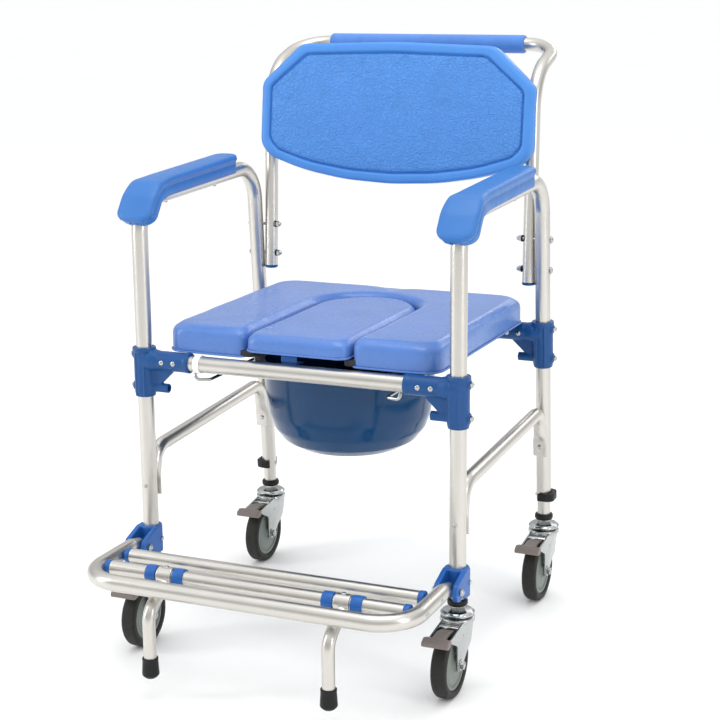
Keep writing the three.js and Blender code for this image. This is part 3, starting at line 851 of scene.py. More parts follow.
def spread(line, count):
    """Evenly spaced points along a polyline."""
    runs = [0.0]
    for a, b in zip(line, line[1:]):
        runs.append(runs[-1] + (b - a).length)
    made = []
    for k in range(count):
        goal = runs[-1] * k / (count - 1)
        i = max(j for j in range(len(runs) - 1) if runs[j] <= goal + 1e-9)
        made.append(line[i].lerp(line[i + 1], min(1.0, (goal - runs[i]) / (runs[i + 1] - runs[i]))))
    return made


def corner_loss(distance, radius):
    """How far a rounded corner draws in, at a distance from the end it rounds."""
    if distance >= radius:
        return 0.0
    return radius - math.sqrt(max(0.0, radius * radius - (radius - distance) ** 2))


def armrest_section(half):
    """Outline across an armrest: -1 to 1 across, and -0.5 to 0.5 from its underside to its top."""
    lip = 1 - 2.2 / half
    side = [
        (0.0, 0.5), (0.55, 0.49), (0.8, 0.465), (0.92, 0.42), (0.98, 0.35), (1.0, 0.26), (0.995, 0.2),
        (lip + 0.03, 0.155), (lip, 0.12), (lip, 0.03), (lip - 0.025, 0.01), (lip - 0.025, -0.01),
        (lip, -0.03), (lip, -0.4), (lip - 0.05, -0.47), (lip - 0.15, -0.5), (0.0, -0.5),
    ]
    return side + [(-u, v) for u, v in side[-2:0:-1]]


# ---------------------------------------------------------------- back frame, grip and backrest
BACK_X, BACK_R = 233, 11  # an upright of the back frame, and its tube's radius
BACKREST_LOW, BACKREST_Y = 694, 168  # the backrest's lower edge, and its front face there


def back_tube(z):
    """How far back an upright of the back frame is at a height."""
    return 196 + 0.05 * (z - 540)


def back_frame_path():
    """Axis of the back frame, from the bottom of one upright over the push bar to the other."""
    bottom, bend = 540, 872

    def half(side):
        return [(side * BACK_X, back_tube(bottom), bottom), (side * BACK_X, back_tube(bend), bend, 80),
                (side * BACK_X, GRIP.y, GRIP.z, 55)]

    return bent(half(-1) + half(1)[::-1], steps=18)


class COMMODE_OT_back_frame(bpy.types.Operator):
    """Bends the back frame, with its bolts, knob nuts, end caps and the foam grip."""

    bl_idname = "commode.back_frame"
    bl_label = "Back Frame"

    def execute(self, context):
        edge = context.scene.chair_sizes.bend_edge / MM
        tube = sweep(back_frame_path(), BACK_R, bore=9.6, sides=44, edge=edge)
        piece("back_tube", mesh_of(tube), "frame", "anodised_tube", "back_frame")
        half = span("push_bar_grip")[1].x
        profile = rounded([(11.2, -half), (13.8, -half, 1.5), (15.2, -half + 3, 1), (15.2, half - 3, 1),
                           (13.8, half, 1.5), (11.2, half)], steps=4)
        grip = turn(profile, at=GRIP, along=(1, 0, 0), sides=64, closed=True)
        piece("foam_grip", mesh_of(grip), "frame", "grip_foam", "push_bar_grip")
        steel, spacers = [], []
        for z in (612, 562):
            y = (back_tube(z) + rear_leg(z)) / 2
            steel += [
                bar((216, y, z), (274, y, z), 2.6, sides=20),
                dome((271.2, y, z), (1, 0, 0), 5.4, 3.0),
                turn([(0, 0), (6, 0), (6, 1.2), (0, 1.2)], at=(270, y, z), along=(1, 0, 0), sides=28),
                nut((221, y, z), (-1, 0, 0), 9, 5, cap=4),
            ]
            disc = [(0, 0), (5.5, 0), (5.5, 1.2), (0, 1.2)]
            spacers.append(turn(disc, at=(222.2, y, z), along=(-1, 0, 0), sides=28))
        steel, spacers = mesh_of(join(*steel)), mesh_of(join(*spacers))
        cap = rounded([(0, 0), (10.6, 0, 2), (11.3, 4, 0.5), (0, 4)], closed=False, steps=4)
        cap = mesh_of(turn(cap, sides=40))
        for side, name in PAIRS:
            piece(f"back_bolts_{name}", handed(steel, side), "frame", "zinc_steel")
            piece(f"back_washers_{name}", handed(spacers, side), "frame", "black_rubber")
            piece(f"back_end_cap_{name}", cap.copy(), "frame", "tee_plastic",
                  at=(side * BACK_X, back_tube(538), 535.8))
        return {"FINISHED"}


def backrest_outline(inset):
    """The backrest's outline in X and Z, drawn in by an inset, with its corners rounded."""
    half = [(0, BACKREST_LOW), (80, 698), (160, 711), (222, 732), (240, 752), (240, 856), (170, 920),
            (0, 925)]
    radii = [400, 400, 400, 40, 30, 24, 32, 600]
    centre, wide, tall = 810, 240, 115
    kept = max(0.25, 1 - inset / 60)
    points = []
    for (x, z), radius in zip(half, radii):
        points.append((x * (1 - inset / wide), centre + (z - centre) * (1 - inset / tall), radius * kept))
    mirror = [(-p[0], *p[1:]) for p in points[-2:0:-1]]
    return rounded(points + mirror, steps=8)


class COMMODE_OT_backrest(bpy.types.Operator):
    """Blow moulds the backrest: a smooth rim, a groove, and a grained panel that swells a little."""

    bl_idname = "commode.backrest"
    bl_label = "Backrest"

    def execute(self, context):
        thick = 28
        # (inset from the outline, depth behind the front plane)
        front = [(6.5, 0), (9, -0.4), (12, -0.4), (14.6, 0.2), (15.6, 1.8), (16.2, 4.2), (17.4, 5),
                 (18.6, 4.4), (19.4, 2.4), (20.6, 1.2), (26, 0.8), (40, 0.2), (60, -0.4), (85, -0.8),
                 (100, -1.0)]
        edge = [(6.5 * s, 6.5 * c) for c, s in quarter(5)[:0:-1]]
        back = [(6 * c, thick - 6 * s) for c, s in quarter(5)]
        back += [(22, thick), (25, thick - 2.5), (32, thick - 3), (80, thick - 3)]
        stations = back[::-1] + edge + front
        lean = math.atan(0.12)
        place = Matrix.Translation((0, BACKREST_Y, BACKREST_LOW)) @ Matrix.Rotation(-lean, 4, "X")
        rings = [[place @ Vector((x, depth, z - BACKREST_LOW)) for x, z in backrest_outline(inset)]
                 for inset, depth in stations]
        bm = skin(rings)
        grained = len(stations) - 9  # rings from the groove's inner wall to the middle
        count = len(rings[0])
        bm.faces.ensure_lookup_table()
        for face in bm.faces[grained * count:-2]:
            face.material_index = 1
        bm.faces[-1].material_index = 1
        panel = mesh_of(bm)
        panel.materials.append(finish_for("backrest_plastic"))
        panel.materials.append(finish_for("grained_plastic"))
        panel = shaded(carved(panel, sweep(back_frame_path(), BACK_R + 0.6, sides=40)), 50)
        piece("backrest_shell", panel, "frame", "backrest_plastic", "backrest_panel")
        screws = [dome((x, back_tube(z) + BACK_R + 0.2, z), (0, 1, 0), 4.5, 2.4)
                  for x in (-BACK_X, BACK_X) for z in (760, 850)]
        piece("backrest_screws", mesh_of(join(*screws)), "frame", "zinc_steel")
        return {"FINISHED"}


# ---------------------------------------------------------------- seat
SEAT_LOW, SEAT_HIGH = span("seat_pad")
SEAT_HALF = SEAT_HIGH.x
OPENING_HALF = 87  # half the width of the U-shaped opening
OPENING_ARC = 59  # centre of its round rear end, along Y
BOARD_TOP = span("seat_board")[1].z


def arc(centre_x, centre_y, radius, first, last, steps):
    """Points along an arc, its angles in degrees."""
    made = []
    for k in range(steps + 1):
        angle = math.radians(first + (last - first) * k / steps)
        made.append(Vector((centre_x + radius * math.cos(angle), centre_y + radius * math.sin(angle))))
    return made


def seat_outline(inset, opening=OPENING_HALF, steps=10):
    """The U-shaped seat, drawn in by an inset."""
    half, front, rear, radius = SEAT_HALF - inset, SEAT_LOW.y + inset, SEAT_HIGH.y - inset, 30
    inner = opening + inset
    nose = 12  # radius where the sides meet the opening at the front
    return (
        arc(inner + nose, front + nose, nose, 180, 270, 6)
        + arc(half - radius, front + radius, radius, -90, 0, steps)
        + arc(half - radius, rear - radius, radius, 0, 90, steps)
        + arc(-half + radius, rear - radius, radius, 90, 180, steps)
        + arc(-half + radius, front + radius, radius, 180, 270, steps)
        + arc(-inner - nose, front + nose, nose, -90, 0, 6)
        + arc(0, OPENING_ARC, inner, 180, 0, 4 * steps)
    )


def insert_outline(inset):
    """The lift-out insert: round at the rear, with soft front corners, drawn in by an inset."""
    half, front, radius = OPENING_HALF - 2.5 - inset, span("seat_insert")[0].y + inset, 18
    return (
        arc(half - radius, front + radius, radius, -90, 0, 8)
        + arc(0, OPENING_ARC, half, 0, 180, 36)
        + arc(-half + radius, front + radius, radius, 180, 270, 8)
    )


def cushion(outline, inset, low, high, top_edge, sizes):
    """Foam under a tight cover: a soft-edged block that swells a little and stays flat underneath."""
    levels = [(inset, low)] + [(inset + top_edge * i, high - top_edge * d) for i, d in quarter(8)]
    block = mesh_of(skin([[Vector((u, v, z)) for u, v in outline(i)] for i, z in levels]))
    cover = held(baked(fused(block, sizes.pad_voxel)))
    uneven = 0.7  # how far the remesh may leave the flat top below its height
    for vert in cover.data.vertices:
        if vert.co.z / MM > high - uneven:
            vert.co.z = high * MM
    home = [v.co.copy() for v in cover.data.vertices]
    outward = [v.normal.copy() for v in cover.data.vertices]
    swell = [0.0] * len(home)
    cloth = cover.modifiers.new("Cloth", "CLOTH")
    cloth.settings.use_pressure = True
    cloth.settings.uniform_pressure_force = 4.0
    cloth.settings.effector_weights.gravity = 0.0
    for step in range(1, 21):
        bpy.context.scene.frame_set(step)
    mesh = baked(cover)
    bpy.context.scene.frame_set(1)
    cover = held(mesh)
    swell = [(v.co - h).dot(n) for v, h, n in zip(mesh.vertices, home, outward)]
    # The cover is glued down, so only its smooth swelling is kept and its small creases go.
    edges = [tuple(e.vertices) for e in cover.data.edges]
    spreads, rim, fade = 24, 4, 10  # averaging passes; still lower edge and its blend, in millimetres
    for _ in range(spreads):
        total, count = [0.0] * len(home), [0] * len(home)
        for i, j in edges:
            total[i] += swell[j]
            total[j] += swell[i]
            count[i] += 1
            count[j] += 1
        swell = [(s + t / max(1, c)) / 2 for s, t, c in zip(swell, total, count)]
    for vert, h, n, s in zip(cover.data.vertices, home, outward, swell):
        free = min(1.0, max(0.0, (h.z / MM - low - rim) / fade))
        vert.co = h + n * free * min(max(s, 0.0), sizes.pad_swell)
    soften = cover.modifiers.new("Soften", "SMOOTH")
    soften.iterations = 4
    fine = cover.modifiers.new("Fine", "SUBSURF")
    fine.levels = 1
    return shaded(baked(cover), 180)


class COMMODE_OT_seat(bpy.types.Operator):
    """Makes the seat board, the padded seat, its lift-out insert, their welts and the pull tab."""

    bl_idname = "commode.seat"
    bl_label = "Seat"

    def execute(self, context):
        sizes = context.scene.chair_sizes
        board_low = span("seat_board")[0].z
        board = slab(seat_outline(4, OPENING_HALF - 19), board_low, BOARD_TOP, edge=1)
        piece("seat_plywood", mesh_of(board), "frame", "seat_board", "seat_board")
        pad_low = BOARD_TOP + 0.3
        skirt_low = CROSS_Z + TUBE_R + 0.6
        pad = cushion(seat_outline, 1.4, skirt_low, SEAT_HIGH.z - 2.2, 13, sizes)
        ledge = slab(seat_outline(3.6, OPENING_HALF - 19.5), board_low - 8, pad_low, edge=0.2)
        pad = shaded(carved(pad, ledge), 50)
        pad = piece("padded_seat", pad, "frame", "seat_vinyl", "seat_pad")
        insert_high = span("seat_insert")[1].z
        insert = cushion(insert_outline, 1.0, pad_low, insert_high - 1.7, 10, sizes)
        insert = piece("padded_insert", insert, "insert", "seat_vinyl", "seat_insert")
        for name, body, outline, z in (("seat_welt", "frame", seat_outline(0.8), skirt_low + 3.2),
                                       ("insert_welt", "insert", insert_outline(0.8), pad_low + 2.4)):
            path = [Vector((u, v, z)) for u, v in outline]
            path = [p for p, after in zip(path, path[1:] + path[:1]) if (p - after).length > 1e-3]
            welt = sweep(path, 1.6, Vector((0, 0, 1)), sides=14, loop=True)
            piece(name, mesh_of(welt), body, "seat_vinyl")
        front = span("seat_insert")[0].y
        strap = bent([(-14, front + 60, 481.5), (-14, front + 14, 481, 3), (-14, front + 12, 468, 5),
                      (-14, front + 40, 466)], steps=6, spacing=3)
        tab = sweep(strap, lambda run, total: (13, 0.9), Vector((1, 0, 0)), sides=24)
        piece("insert_pull_tab", mesh_of(tab), "insert", "bracket_plastic")
        return {"FINISHED"}


# ---------------------------------------------------------------- pail and rails
class COMMODE_OT_pail(bpy.types.Operator):
    """Turns the pail, bends the two wire rails it slides on and clips a white band to the front tube."""

    bl_idname = "commode.pail"
    bl_label = "Pail and Rails"

    def execute(self, context):
        rim = span("pail")[1].z
        outer = [(0, 295.6), (56, 295.6, 4), (58, 294.4, 1), (63, 294.4, 2), (86, 299, 14), (107, 311, 16),
                 (122, 330, 24), (130, 353, 60), (134.5, 392, 60), (137, 424, 2), (138.4, 426, 2),
                 (138.8, 434.6, 1.5)]
        lip = [(149, 434.9, 1.5), (150, 430, 0.8), (151.8, 430, 0.8), (152, rim, 2.2), (134.5, rim, 1.5)]
        inner = [(131.5, 392, 60), (127, 354, 60), (119.2, 332.4, 24), (104.8, 314, 14), (84.8, 302.2, 10),
                 (62, 298.2, 10), (0, 298.2)]
        profile = rounded(outer + lip + inner, closed=False, steps=5)
        piece("sliding_pail", mesh_of(turn(profile, sides=128)), "pail", "pail_plastic", "pail")
        rail = span("pail_rail_right")
        wire = 2.5
        rail_z = rail[0].z + wire
        hook_x = rail[1].x - wire
        inner_x = rail[0].x + wire

        def hook(toward):
            return [(hook_x, toward * LEG_Y, CROSS_Z - TUBE_R - 0.4),
                    (hook_x, toward * (LEG_Y + 3), rail_z, 6),
                    (inner_x, toward * (LEG_Y - 3), rail_z, 6)]

        rod = mesh_of(sweep(bent(hook(-1) + hook(1)[::-1], steps=8), wire, sides=20))
        ring = rounded([(TUBE_R + 0.2, -5), (TUBE_R + 1.5, -5, 0.6), (TUBE_R + 1.5, 5, 0.6),
                        (TUBE_R + 0.2, 5)], steps=3)
        clip = mesh_of(turn(ring, at=(-162, -LEG_Y, CROSS_Z), along=(1, 0, 0), sides=48, closed=True))
        piece("front_tube_clip", clip, "frame", None, finish="white_plastic")
        for side, name in PAIRS:
            piece(f"rail_wire_{name}", handed(rod, side), "frame", "zinc_wire", f"pail_rail_{name}")
        return {"FINISHED"}


# ---------------------------------------------------------------- telescopic legs
class COMMODE_OT_leg_extensions(bpy.types.Operator):
    """Makes the inner leg tubes with their black rings, and the snap clips of the rear legs."""

    bl_idname = "commode.leg_extensions"
    bl_label = "Leg Extensions"

    def execute(self, context):
        radius, top = 10.9, 330
        ring_profile = rounded([(8.6, -1), (13.4, -1, 0.8), (15.2, 1.6, 1), (15.2, 6.6, 1), (13.6, 9, 0.8),
                                (radius + 0.1, 9), (radius + 0.1, 1), (8.6, 1)], steps=3)
        for side, hand in PAIRS:
            for front, row in ((True, "front"), (False, "rear")):
                x = side * LEG_X
                low = -LEG_Y if front else rear_leg(CASTER_TOP)
                high = -LEG_Y if front else rear_leg(top)
                ends = [Vector((x, low, CASTER_TOP)), Vector((x, high, top))]
                name = f"{row}_{hand}"
                tube = sweep(ends, radius, bore=radius - 1.2, sides=44)
                piece(f"inner_leg_{name}", mesh_of(tube), f"leg_{name}", "anodised_tube",
                      f"leg_extension_{name}")
                ring = turn(ring_profile, at=(x, low, CASTER_TOP - 6), sides=44, closed=True)
                piece(f"leg_ring_{name}", mesh_of(ring), f"leg_{name}", "black_rubber")
        inside = TUBE_R + 0.7
        outline = rounded([(-7, -inside - 4, 1.5), (8, -inside - 4, 4), (20, -inside, 9), (20, inside, 9),
                           (8, inside + 4, 4), (-7, inside + 4, 1.5), (-7, inside, 0.8), (0, inside)])
        outline += arc(0, 0, inside, 88, -88, 20) + [Vector((0, -inside)), Vector((-7, -inside))]
        clip_z = middle("leg_clip_right").z
        clip = mesh_of(moved(slab(outline, -6.5, 6.5, edge=1.2, steps=3), turn_by=math.atan(REAR_LEAN)))
        pin = mesh_of(dome((-TUBE_R - 0.2, 0, 0), (-1, 0, 0), 3.2, 2.2))
        for side, hand in PAIRS:
            at = (side * LEG_X, rear_leg(clip_z), clip_z)
            piece(f"snap_clip_{hand}", handed(clip, side), f"clip_{hand}", "black_rubber",
                  f"leg_clip_{hand}", at=at)
            piece(f"snap_pin_{hand}", handed(pin, side), "frame", "zinc_steel", at=at)
        return {"FINISHED"}


# ---------------------------------------------------------------- casters
def caster_parts(voxel):
    """The meshes of one caster, drawn from the point on the floor under its swivel axis."""
    axle = (0, -TRAIL, WHEEL_R)
    swivel = rounded([(0, 116.3), (19.5, 116.3, 0.6), (25, 117.6, 1.4), (25.8, 121, 1.6), (22, 123.8, 1.5),
                      (13.5, 124.6, 1), (8.4, 125), (8.4, 150), (0, 150)],
                     closed=False, steps=4)
    head = rounded([(0, 106.2), (23.5, 106.2, 1), (26.2, 109.4, 1.6), (25.4, 114, 1.2), (20, 115.7, 1),
                    (0, 115.7)], closed=False, steps=4)
    cheek = rounded([(21, 109, 2), (20.5, 98, 8), (12, 73, 16), (-8, 60, 20), (-24, 46, 12), (-33, 41.2, 7),
                     (-43.5, 45, 6), (-44, 84, 8), (-70, 97.5, 5), (-73, 104.5, 2), (-22, 112, 4),
                     (10, 112, 2)], steps=6)
    flanges = [plate(cheek, 14.6, 17.4, 0.7, 3), plate(cheek, -17.4, -14.6, 0.7, 3)]
    bridge = slab(rounded([(-17.2, -26, 2), (17.2, -26, 2), (17.2, 20, 6), (-17.2, 20, 6)]), 105.2, 110.5)
    rivets = [dome((end * 17.3, -20, 92), (end, 0, 0), 2.6, 1.0) for end in (-1, 1)]
    fork = mesh_of(join(turn(head, sides=64), *flanges, bridge, *rivets))
    bolt = [bar((-24, *axle[1:]), (24, *axle[1:]), 3.8, sides=28)]
    for end in (-1, 1):
        washer = rounded([(0, 0), (8.6, 0, 0.3), (8.6, 1.3, 0.3), (0, 1.3)], closed=False, steps=2)
        bolt.append(turn(washer, at=(end * 17.5, *axle[1:]), along=(end, 0, 0), sides=36))
        bolt.append(nut((end * 18.8, *axle[1:]), (end, 0, 0), 11.5, 4.4))
    half = 12
    tread = rounded([(39.6, -10.2), (43, -half, 2.5), (48.3, -half, 3), (WHEEL_R, -8.6, 3.5),
                     (WHEEL_R + 0.15, 0, 90), (WHEEL_R, 8.6, 3.5), (48.3, half, 3), (43, half, 2.5),
                     (39.6, 10.2)], steps=6)
    tyre = turn(tread, at=axle, along=(1, 0, 0), sides=96, closed=True)
    face = [(5, 13.4), (10.6, 13.4, 0.8), (11.6, 10.4, 1), (15, 9.4, 1), (30.5, 8.4, 1), (32, 7.2, 0.6),
            (33.6, 7.2, 0.6), (34.6, 9.6, 0.7), (38, 9.8, 0.8), (39.3, 8.6)]
    other = [(p[0], -p[1], *p[2:]) for p in face[::-1]]
    hub = turn(rounded(face + other, steps=4), at=axle, along=(1, 0, 0), sides=80, closed=True)
    tongue = rounded([(-40, 103.8, 1), (-40, 106.4, 1), (-60, 110.8, 8), (-84, 108.6, 3), (-86, 101.2, 2),
                      (-62, 104.2, 8)], steps=5)
    lever = rounded([(-79, 98.5, 2), (-79, 107.5, 2), (-86, 109.6, 3), (-95, 105.4, 4), (-96.5, 99, 3),
                     (-90, 96.6, 3)], steps=5)
    ribs = [bar((-17, y, z), (17, y, z), 0.9, sides=12)
            for y, z in ((-83, 108.8), (-87, 108.4), (-91, 106.6))]
    pedal = mould([plate(tongue, -9.6, 9.6, 0.8), plate(lever, -20.6, 20.6, 1.2), *ribs],
                  voxel=voxel * 0.8, passes=2)
    neck = nut((0, 0, 124.4), (0, 0, 1), 19, 6.2)
    return {
        "swivel": mesh_of(join(turn(swivel, sides=64), neck)), "fork": fork, "axle": mesh_of(join(*bolt)),
        "tyre": mesh_of(tyre), "hub": mesh_of(hub), "pedal": pedal,
    }


class COMMODE_OT_casters(bpy.types.Operator):
    """Makes the four braked swivel casters from one set of meshes."""

    bl_idname = "commode.casters"
    bl_label = "Casters"

    def execute(self, context):
        shapes = caster_parts(context.scene.chair_sizes.moulding_voxel / MM)
        # (mesh, body it rides on, slot, frame node it stands for)
        rides = (
            ("swivel", "leg", "zinc_steel", "caster_swivel"),
            ("fork", "fork", "zinc_steel", "caster_fork"),
            ("axle", "fork", "zinc_steel", "caster_axle"),
            ("tyre", "wheel", "tyre_rubber", "caster_tyre"),
            ("hub", "wheel", "hub_plastic", "caster_hub"),
            ("pedal", "pedal", "pedal_plastic", "brake_pedal"),
        )
        for side, hand in PAIRS:
            for row in ("front", "rear"):
                name = f"{row}_{hand}"
                at = (side * LEG_X, -LEG_Y if row == "front" else rear_leg(CASTER_TOP), 0)
                for part, body, slot, node in rides:
                    piece(f"{part}_{name}", shapes[part].copy(), f"{body}_{name}", slot,
                          f"{node}_{name}", at=at)
        return {"FINISHED"}


# ---------------------------------------------------------------- footrest
class COMMODE_OT_footrest(bpy.types.Operator):
    """Makes the footrest's brackets, bent frame, two bars, plugs, rings, rivets and pivot bolts."""

    bl_idname = "commode.footrest"
    bl_label = "Footrest"

    def execute(self, context):
        voxel = context.scene.chair_sizes.moulding_voxel / MM
        pivot = (-240, 166)
        inner = -LEG_Y
        cheek = rounded([(inner + 4, 190, 3), (-214, 190, 10), (-249, 178, 12), (-255, 166, 8),
                         (-250, 154, 6), (-238, 150.5, 6), (-227, 154, 8), (-214, 147, 6),
                         (inner + 4, 146, 3)], steps=5)
        sleeve = rounded([(0, 146), (16.8, 146, 1), (17.6, 148, 1), (17.6, 188, 1), (16.8, 190, 1), (0, 190)],
                         closed=False, steps=3)
        parts = [turn(sleeve, at=(0, inner, 0), sides=56), plate(cheek, 10.6, 18.6, 1.0),
                 plate(cheek, -18.6, -10.6, 1.0), bar((-17.9, inner, 168), (17.9, inner, 168), 5.5, sides=32)]
        bore = bar((0, inner, 140), (0, inner, 196), TUBE_R + 0.25, sides=64, edge=0)
        bracket = mould(parts, [bore], voxel)
        bolts = [bar((-20, *pivot), (20, *pivot), 3.7, sides=24)]
        for end in (-1, 1):
            bolts += [nut((end * 18.8, *pivot), (end, 0, 0), 10, 3.6, cap=2.5),
                      nut((end * 18.1, inner, 168), (end, 0, 0), 7, 2.6)]
        bolts = mesh_of(join(*bolts))
        for side, name in PAIRS:
            at = (side * LEG_X, 0, 0)
            piece(f"bracket_{name}", bracket.copy(), "frame", "bracket_plastic",
                  f"footrest_bracket_{name}", at=at)
            piece(f"bracket_bolts_{name}", bolts.copy(), "frame", "zinc_steel", at=at)
        ear_y, ear_wide, ear_high = -232, 9.2, 11.5  # the flattened ends that turn on the pivots

        def half(side):
            return [(side * LEG_X, ear_y, 166.5), (side * LEG_X, -262, FOOTREST_Z, 40),
                    (side * LEG_X, FOOTREST_FRONT, FOOTREST_Z, 60)]

        def section(run, total):
            near = min(run, total - run)
            ease = eased((near - 12) / 30)
            end = 1 - corner_loss(near, 9) / 9 * 0.75
            wide = ear_wide + (TUBE_R - ear_wide) * ease
            high = ear_high + (TUBE_R - ear_high) * ease
            return wide * (0.6 + 0.4 * end), high * end

        path = bent(half(-1) + half(1)[::-1], steps=16, spacing=4)
        loop = sweep(path, section, Vector((1, 0, 0)), sides=44, edge=0.3)
        piece("footrest_tube", mesh_of(loop), "footrest", "anodised_tube", "footrest_frame")
        end = span("footrest_rear_bar")[1].x - 6  # a plug stands 6 mm out of each end
        plug = rounded([(0, 0), (11.6, 0, 0.8), (11.6, 8, 0.8), (0, 8)], closed=False, steps=3)
        for y, name in ((FOOTREST_REAR, "rear"), (FOOTREST_MIDDLE, "middle")):
            ends = [Vector((-end, y, FOOTREST_Z)), Vector((end, y, FOOTREST_Z))]
            tube = sweep(ends, 11, bore=9.6, sides=44)
            piece(f"{name}_foot_bar", mesh_of(tube), "footrest", "anodised_tube", f"footrest_{name}_bar")
            plugs = [turn(plug, at=(side * end, y, FOOTREST_Z), along=(side, 0, 0), sides=44)
                     for side in (-1, 1)]
            piece(f"{name}_bar_plugs", mesh_of(join(*plugs)), "footrest", "bracket_plastic")
        collar = rounded([(11.05, -8.6), (13.3, -8.6, 0.8), (13.7, 0, 40), (13.3, 8.6, 0.8), (11.05, 8.6)],
                         steps=4)
        rings = []
        for side in (-1, 1):
            for gap in (-22.5, 22.5):
                at = (side * SUPPORT_X + gap, FOOTREST_MIDDLE, FOOTREST_Z)
                rings.append(turn(collar, at=at, along=(1, 0, 0), sides=44, closed=True))
        piece("support_stop_rings", mesh_of(join(*rings)), "footrest", "bracket_plastic")
        rivets = [dome((side * (LEG_X + TUBE_R - 0.3), y, FOOTREST_Z), (side, 0, 0), 4, 1.8)
                  for side in (-1, 1) for y in (FOOTREST_REAR, FOOTREST_MIDDLE)]
        piece("footrest_rivets", mesh_of(join(*rivets)), "footrest", "zinc_steel")
        return {"FINISHED"}


class COMMODE_OT_support_legs(bpy.types.Operator):
    """Makes the two bent stays that hang on the footrest's middle bar, with rubber tips."""

    bl_idname = "commode.support_legs"
    bl_label = "Support Legs"

    def execute(self, context):
        voxel = context.scene.chair_sizes.moulding_voxel / MM
        radius = 9.5
        centre = (0, FOOTREST_MIDDLE, FOOTREST_Z)
        path = bent([(0, FOOTREST_MIDDLE - 2, FOOTREST_Z - 3), (0, FOOTREST_FRONT, 134, 30),
                     (0, FOOTREST_FRONT, 42)], steps=14, spacing=5)

        def section(run, total):
            ease = eased(run / 34)
            return 11.5 + (radius - 11.5) * ease, 7.5 + (radius - 7.5) * ease

        saddle = bar((-12, *centre[1:]), (12, *centre[1:]), 13.6)
        stay = mould([saddle, sweep(path, section, Vector((1, 0, 0)), sides=44, edge=0.2)],
                     [bar((-14, *centre[1:]), (14, *centre[1:]), 11.3, edge=0)], voxel * 0.8, passes=6)
        tip = rounded([(0, 34), (8, 34, 4), (12.9, 39, 4), (12.4, 46, 1), (11.6, 60, 0.8), (11.9, 65, 0.8),
                       (radius + 0.15, 65), (radius + 0.15, 42.2), (0, 42.2)], closed=False, steps=4)
        tip = mesh_of(turn(tip, at=(0, FOOTREST_FRONT, 0), sides=48))
        screw = mesh_of(dome((0, FOOTREST_MIDDLE, FOOTREST_Z + 13.5), (0, 0, 1), 4.2, 2))
        for side, name in PAIRS:
            at = (side * SUPPORT_X, 0, 0)
            body = f"support_{name}"
            piece(f"stay_{name}", stay.copy(), body, "anodised_tube", f"support_leg_{name}", at=at)
            piece(f"stay_tip_{name}", tip.copy(), body, "black_rubber", f"support_tip_{name}", at=at)
            piece(f"stay_screw_{name}", screw.copy(), body, "zinc_steel", at=at)
        return {"FINISHED"}


# ---------------------------------------------------------------- stage
def softbox(name, at, aim, size, power):
    """A soft white studio light at a point, aimed at another; both in metres."""
    data = bpy.data.lights.new(name, "AREA")
    data.shape = "RECTANGLE"
    data.size, data.size_y = size
    data.energy = power
    lamp = bpy.data.objects.new(name, data)
    bpy.context.scene.collection.objects.link(lamp)
    lamp.location = at
    lamp.rotation_euler = (Vector(aim) - Vector(at)).to_track_quat("-Z", "Y").to_euler()


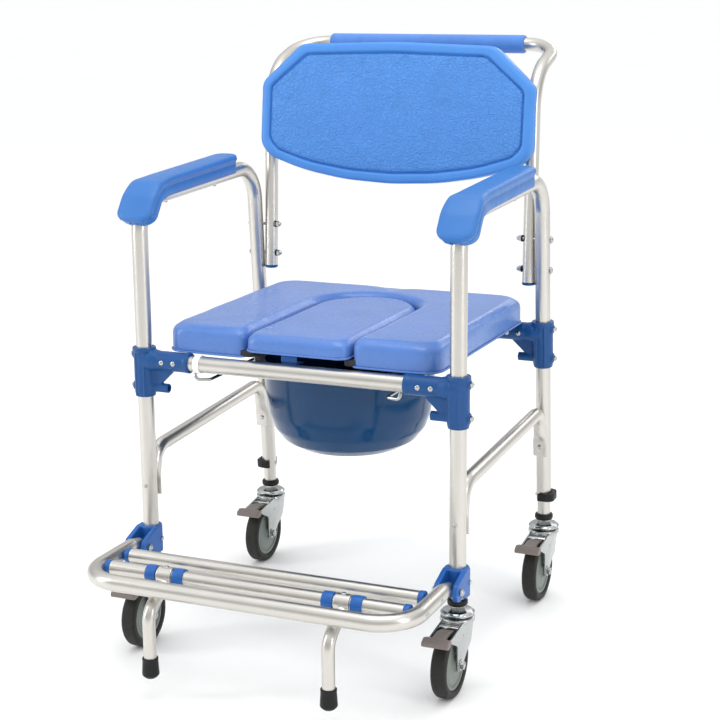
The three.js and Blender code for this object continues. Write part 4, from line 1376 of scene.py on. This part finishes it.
class COMMODE_OT_stage(bpy.types.Operator):
    """Sets the camera, the pale floor and soft studio light."""

    bl_idname = "commode.stage"
    bl_label = "Stage"

    def execute(self, context):
        scene = context.scene
        azimuth, elevation, roll = (math.radians(a) for a in (23.52, 13.33, -0.52))
        aim = (Vector((17.75, 0, 434.8)) + Vector((0, BENCH_Y, 0))) * MM
        distance = 2.684
        back = Vector((math.sin(azimuth) * math.cos(elevation), -math.cos(azimuth) * math.cos(elevation),
                       math.sin(elevation)))
        camera = bpy.data.objects.new("Camera", bpy.data.cameras.new("Camera"))
        camera.data.lens = 84.5
        camera.data.sensor_width = 36
        camera.location = aim + back * distance
        camera.rotation_mode = "QUATERNION"
        tilt = Matrix.Rotation(roll, 3, "Z").to_quaternion()
        camera.rotation_quaternion = (-back).to_track_quat("-Z", "Y") @ tilt
        scene.collection.objects.link(camera)
        scene.camera = camera
        scene.view_settings.view_transform = "Standard"
        half = 150.0  # metres
        ground = bpy.data.meshes.new("floor")
        corners = [(-half, -half, 0), (half, -half, 0), (half, half, 0), (-half, half, 0)]
        ground.from_pydata(corners, [], [(0, 1, 2, 3)])
        ground.materials.append(finish_for("floor"))
        floor = bpy.data.objects.new("floor", ground)
        scene.collection.objects.link(floor)
        sky = bpy.data.worlds.new("Studio")
        sky.use_nodes = True
        tree = sky.node_tree
        direction = add(tree, "ShaderNodeTexCoord", {}).outputs["Generated"]
        up = add(tree, "ShaderNodeSeparateXYZ", {"Vector": direction})
        # Walls darker than ceiling and skirting give the tubes soft grey edges.
        walls = add(tree, "ShaderNodeValToRGB", {"Fac": up.outputs["Z"]})
        ramp = walls.color_ramp
        for position, grey in ((0.05, 0.66), (0.22, 0.36)):
            ramp.elements.new(position).color = (grey, grey, grey, 1)
        ramp.elements[0].color = (0.7, 0.705, 0.71, 1)
        ramp.elements[-1].color = (0.98, 0.99, 1, 1)
        background = tree.nodes["Background"]
        background.inputs["Strength"].default_value = 1.42
        tree.links.new(walls.outputs["Color"], background.inputs["Color"])
        scene.world = sky
        chair = (0, 0, 0.5)
        softbox("Overhead", (0.2, -0.4, 2.6), chair, (1.6, 1.2), 17)
        softbox("Left strip", (-2.4, -1.6, 1.4), chair, (0.5, 2.0), 24)
        softbox("Right strip", (2.6, -0.9, 1.3), chair, (0.4, 1.8), 15)
        softbox("Rear strip", (0.6, 2.8, 1.8), chair, (2.4, 0.6), 10)
        return {"FINISHED"}


# ---------------------------------------------------------------- panel and registration
ORDER = (
    COMMODE_OT_stage, COMMODE_OT_side_frames, COMMODE_OT_side_braces, COMMODE_OT_tee_joints,
    COMMODE_OT_armrests, COMMODE_OT_back_frame, COMMODE_OT_backrest, COMMODE_OT_seat, COMMODE_OT_pail,
    COMMODE_OT_leg_extensions, COMMODE_OT_casters, COMMODE_OT_footrest, COMMODE_OT_support_legs,
)


class COMMODE_PT_chair(bpy.types.Panel):
    """Lists the chair's sizes, colours and pieces."""

    bl_idname = "COMMODE_PT_chair"
    bl_label = "Commode Chair"
    bl_space_type = "VIEW_3D"
    bl_region_type = "UI"
    bl_category = "Commode"

    def draw(self, context):
        for group in (context.scene.chair_sizes, context.scene.chair_colours):
            box = self.layout.box()
            for name in group.__annotations__:
                box.prop(group, name)
        for operator in ORDER:
            self.layout.operator(operator.bl_idname)


CLASSES = (ChairColours, ChairSizes, *ORDER, COMMODE_PT_chair)


def register():
    for cls in CLASSES:
        bpy.utils.register_class(cls)
    bpy.types.Scene.chair_colours = PointerProperty(type=ChairColours)
    bpy.types.Scene.chair_sizes = PointerProperty(type=ChairSizes)


def unregister():
    del bpy.types.Scene.chair_sizes
    del bpy.types.Scene.chair_colours
    for cls in reversed(CLASSES):
        bpy.utils.unregister_class(cls)


def main():
    """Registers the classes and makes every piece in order."""
    register()
    for operator in ORDER:
        family, name = operator.bl_idname.split(".")
        getattr(getattr(bpy.ops, family), name)()


if __name__ == "__main__":
    main()
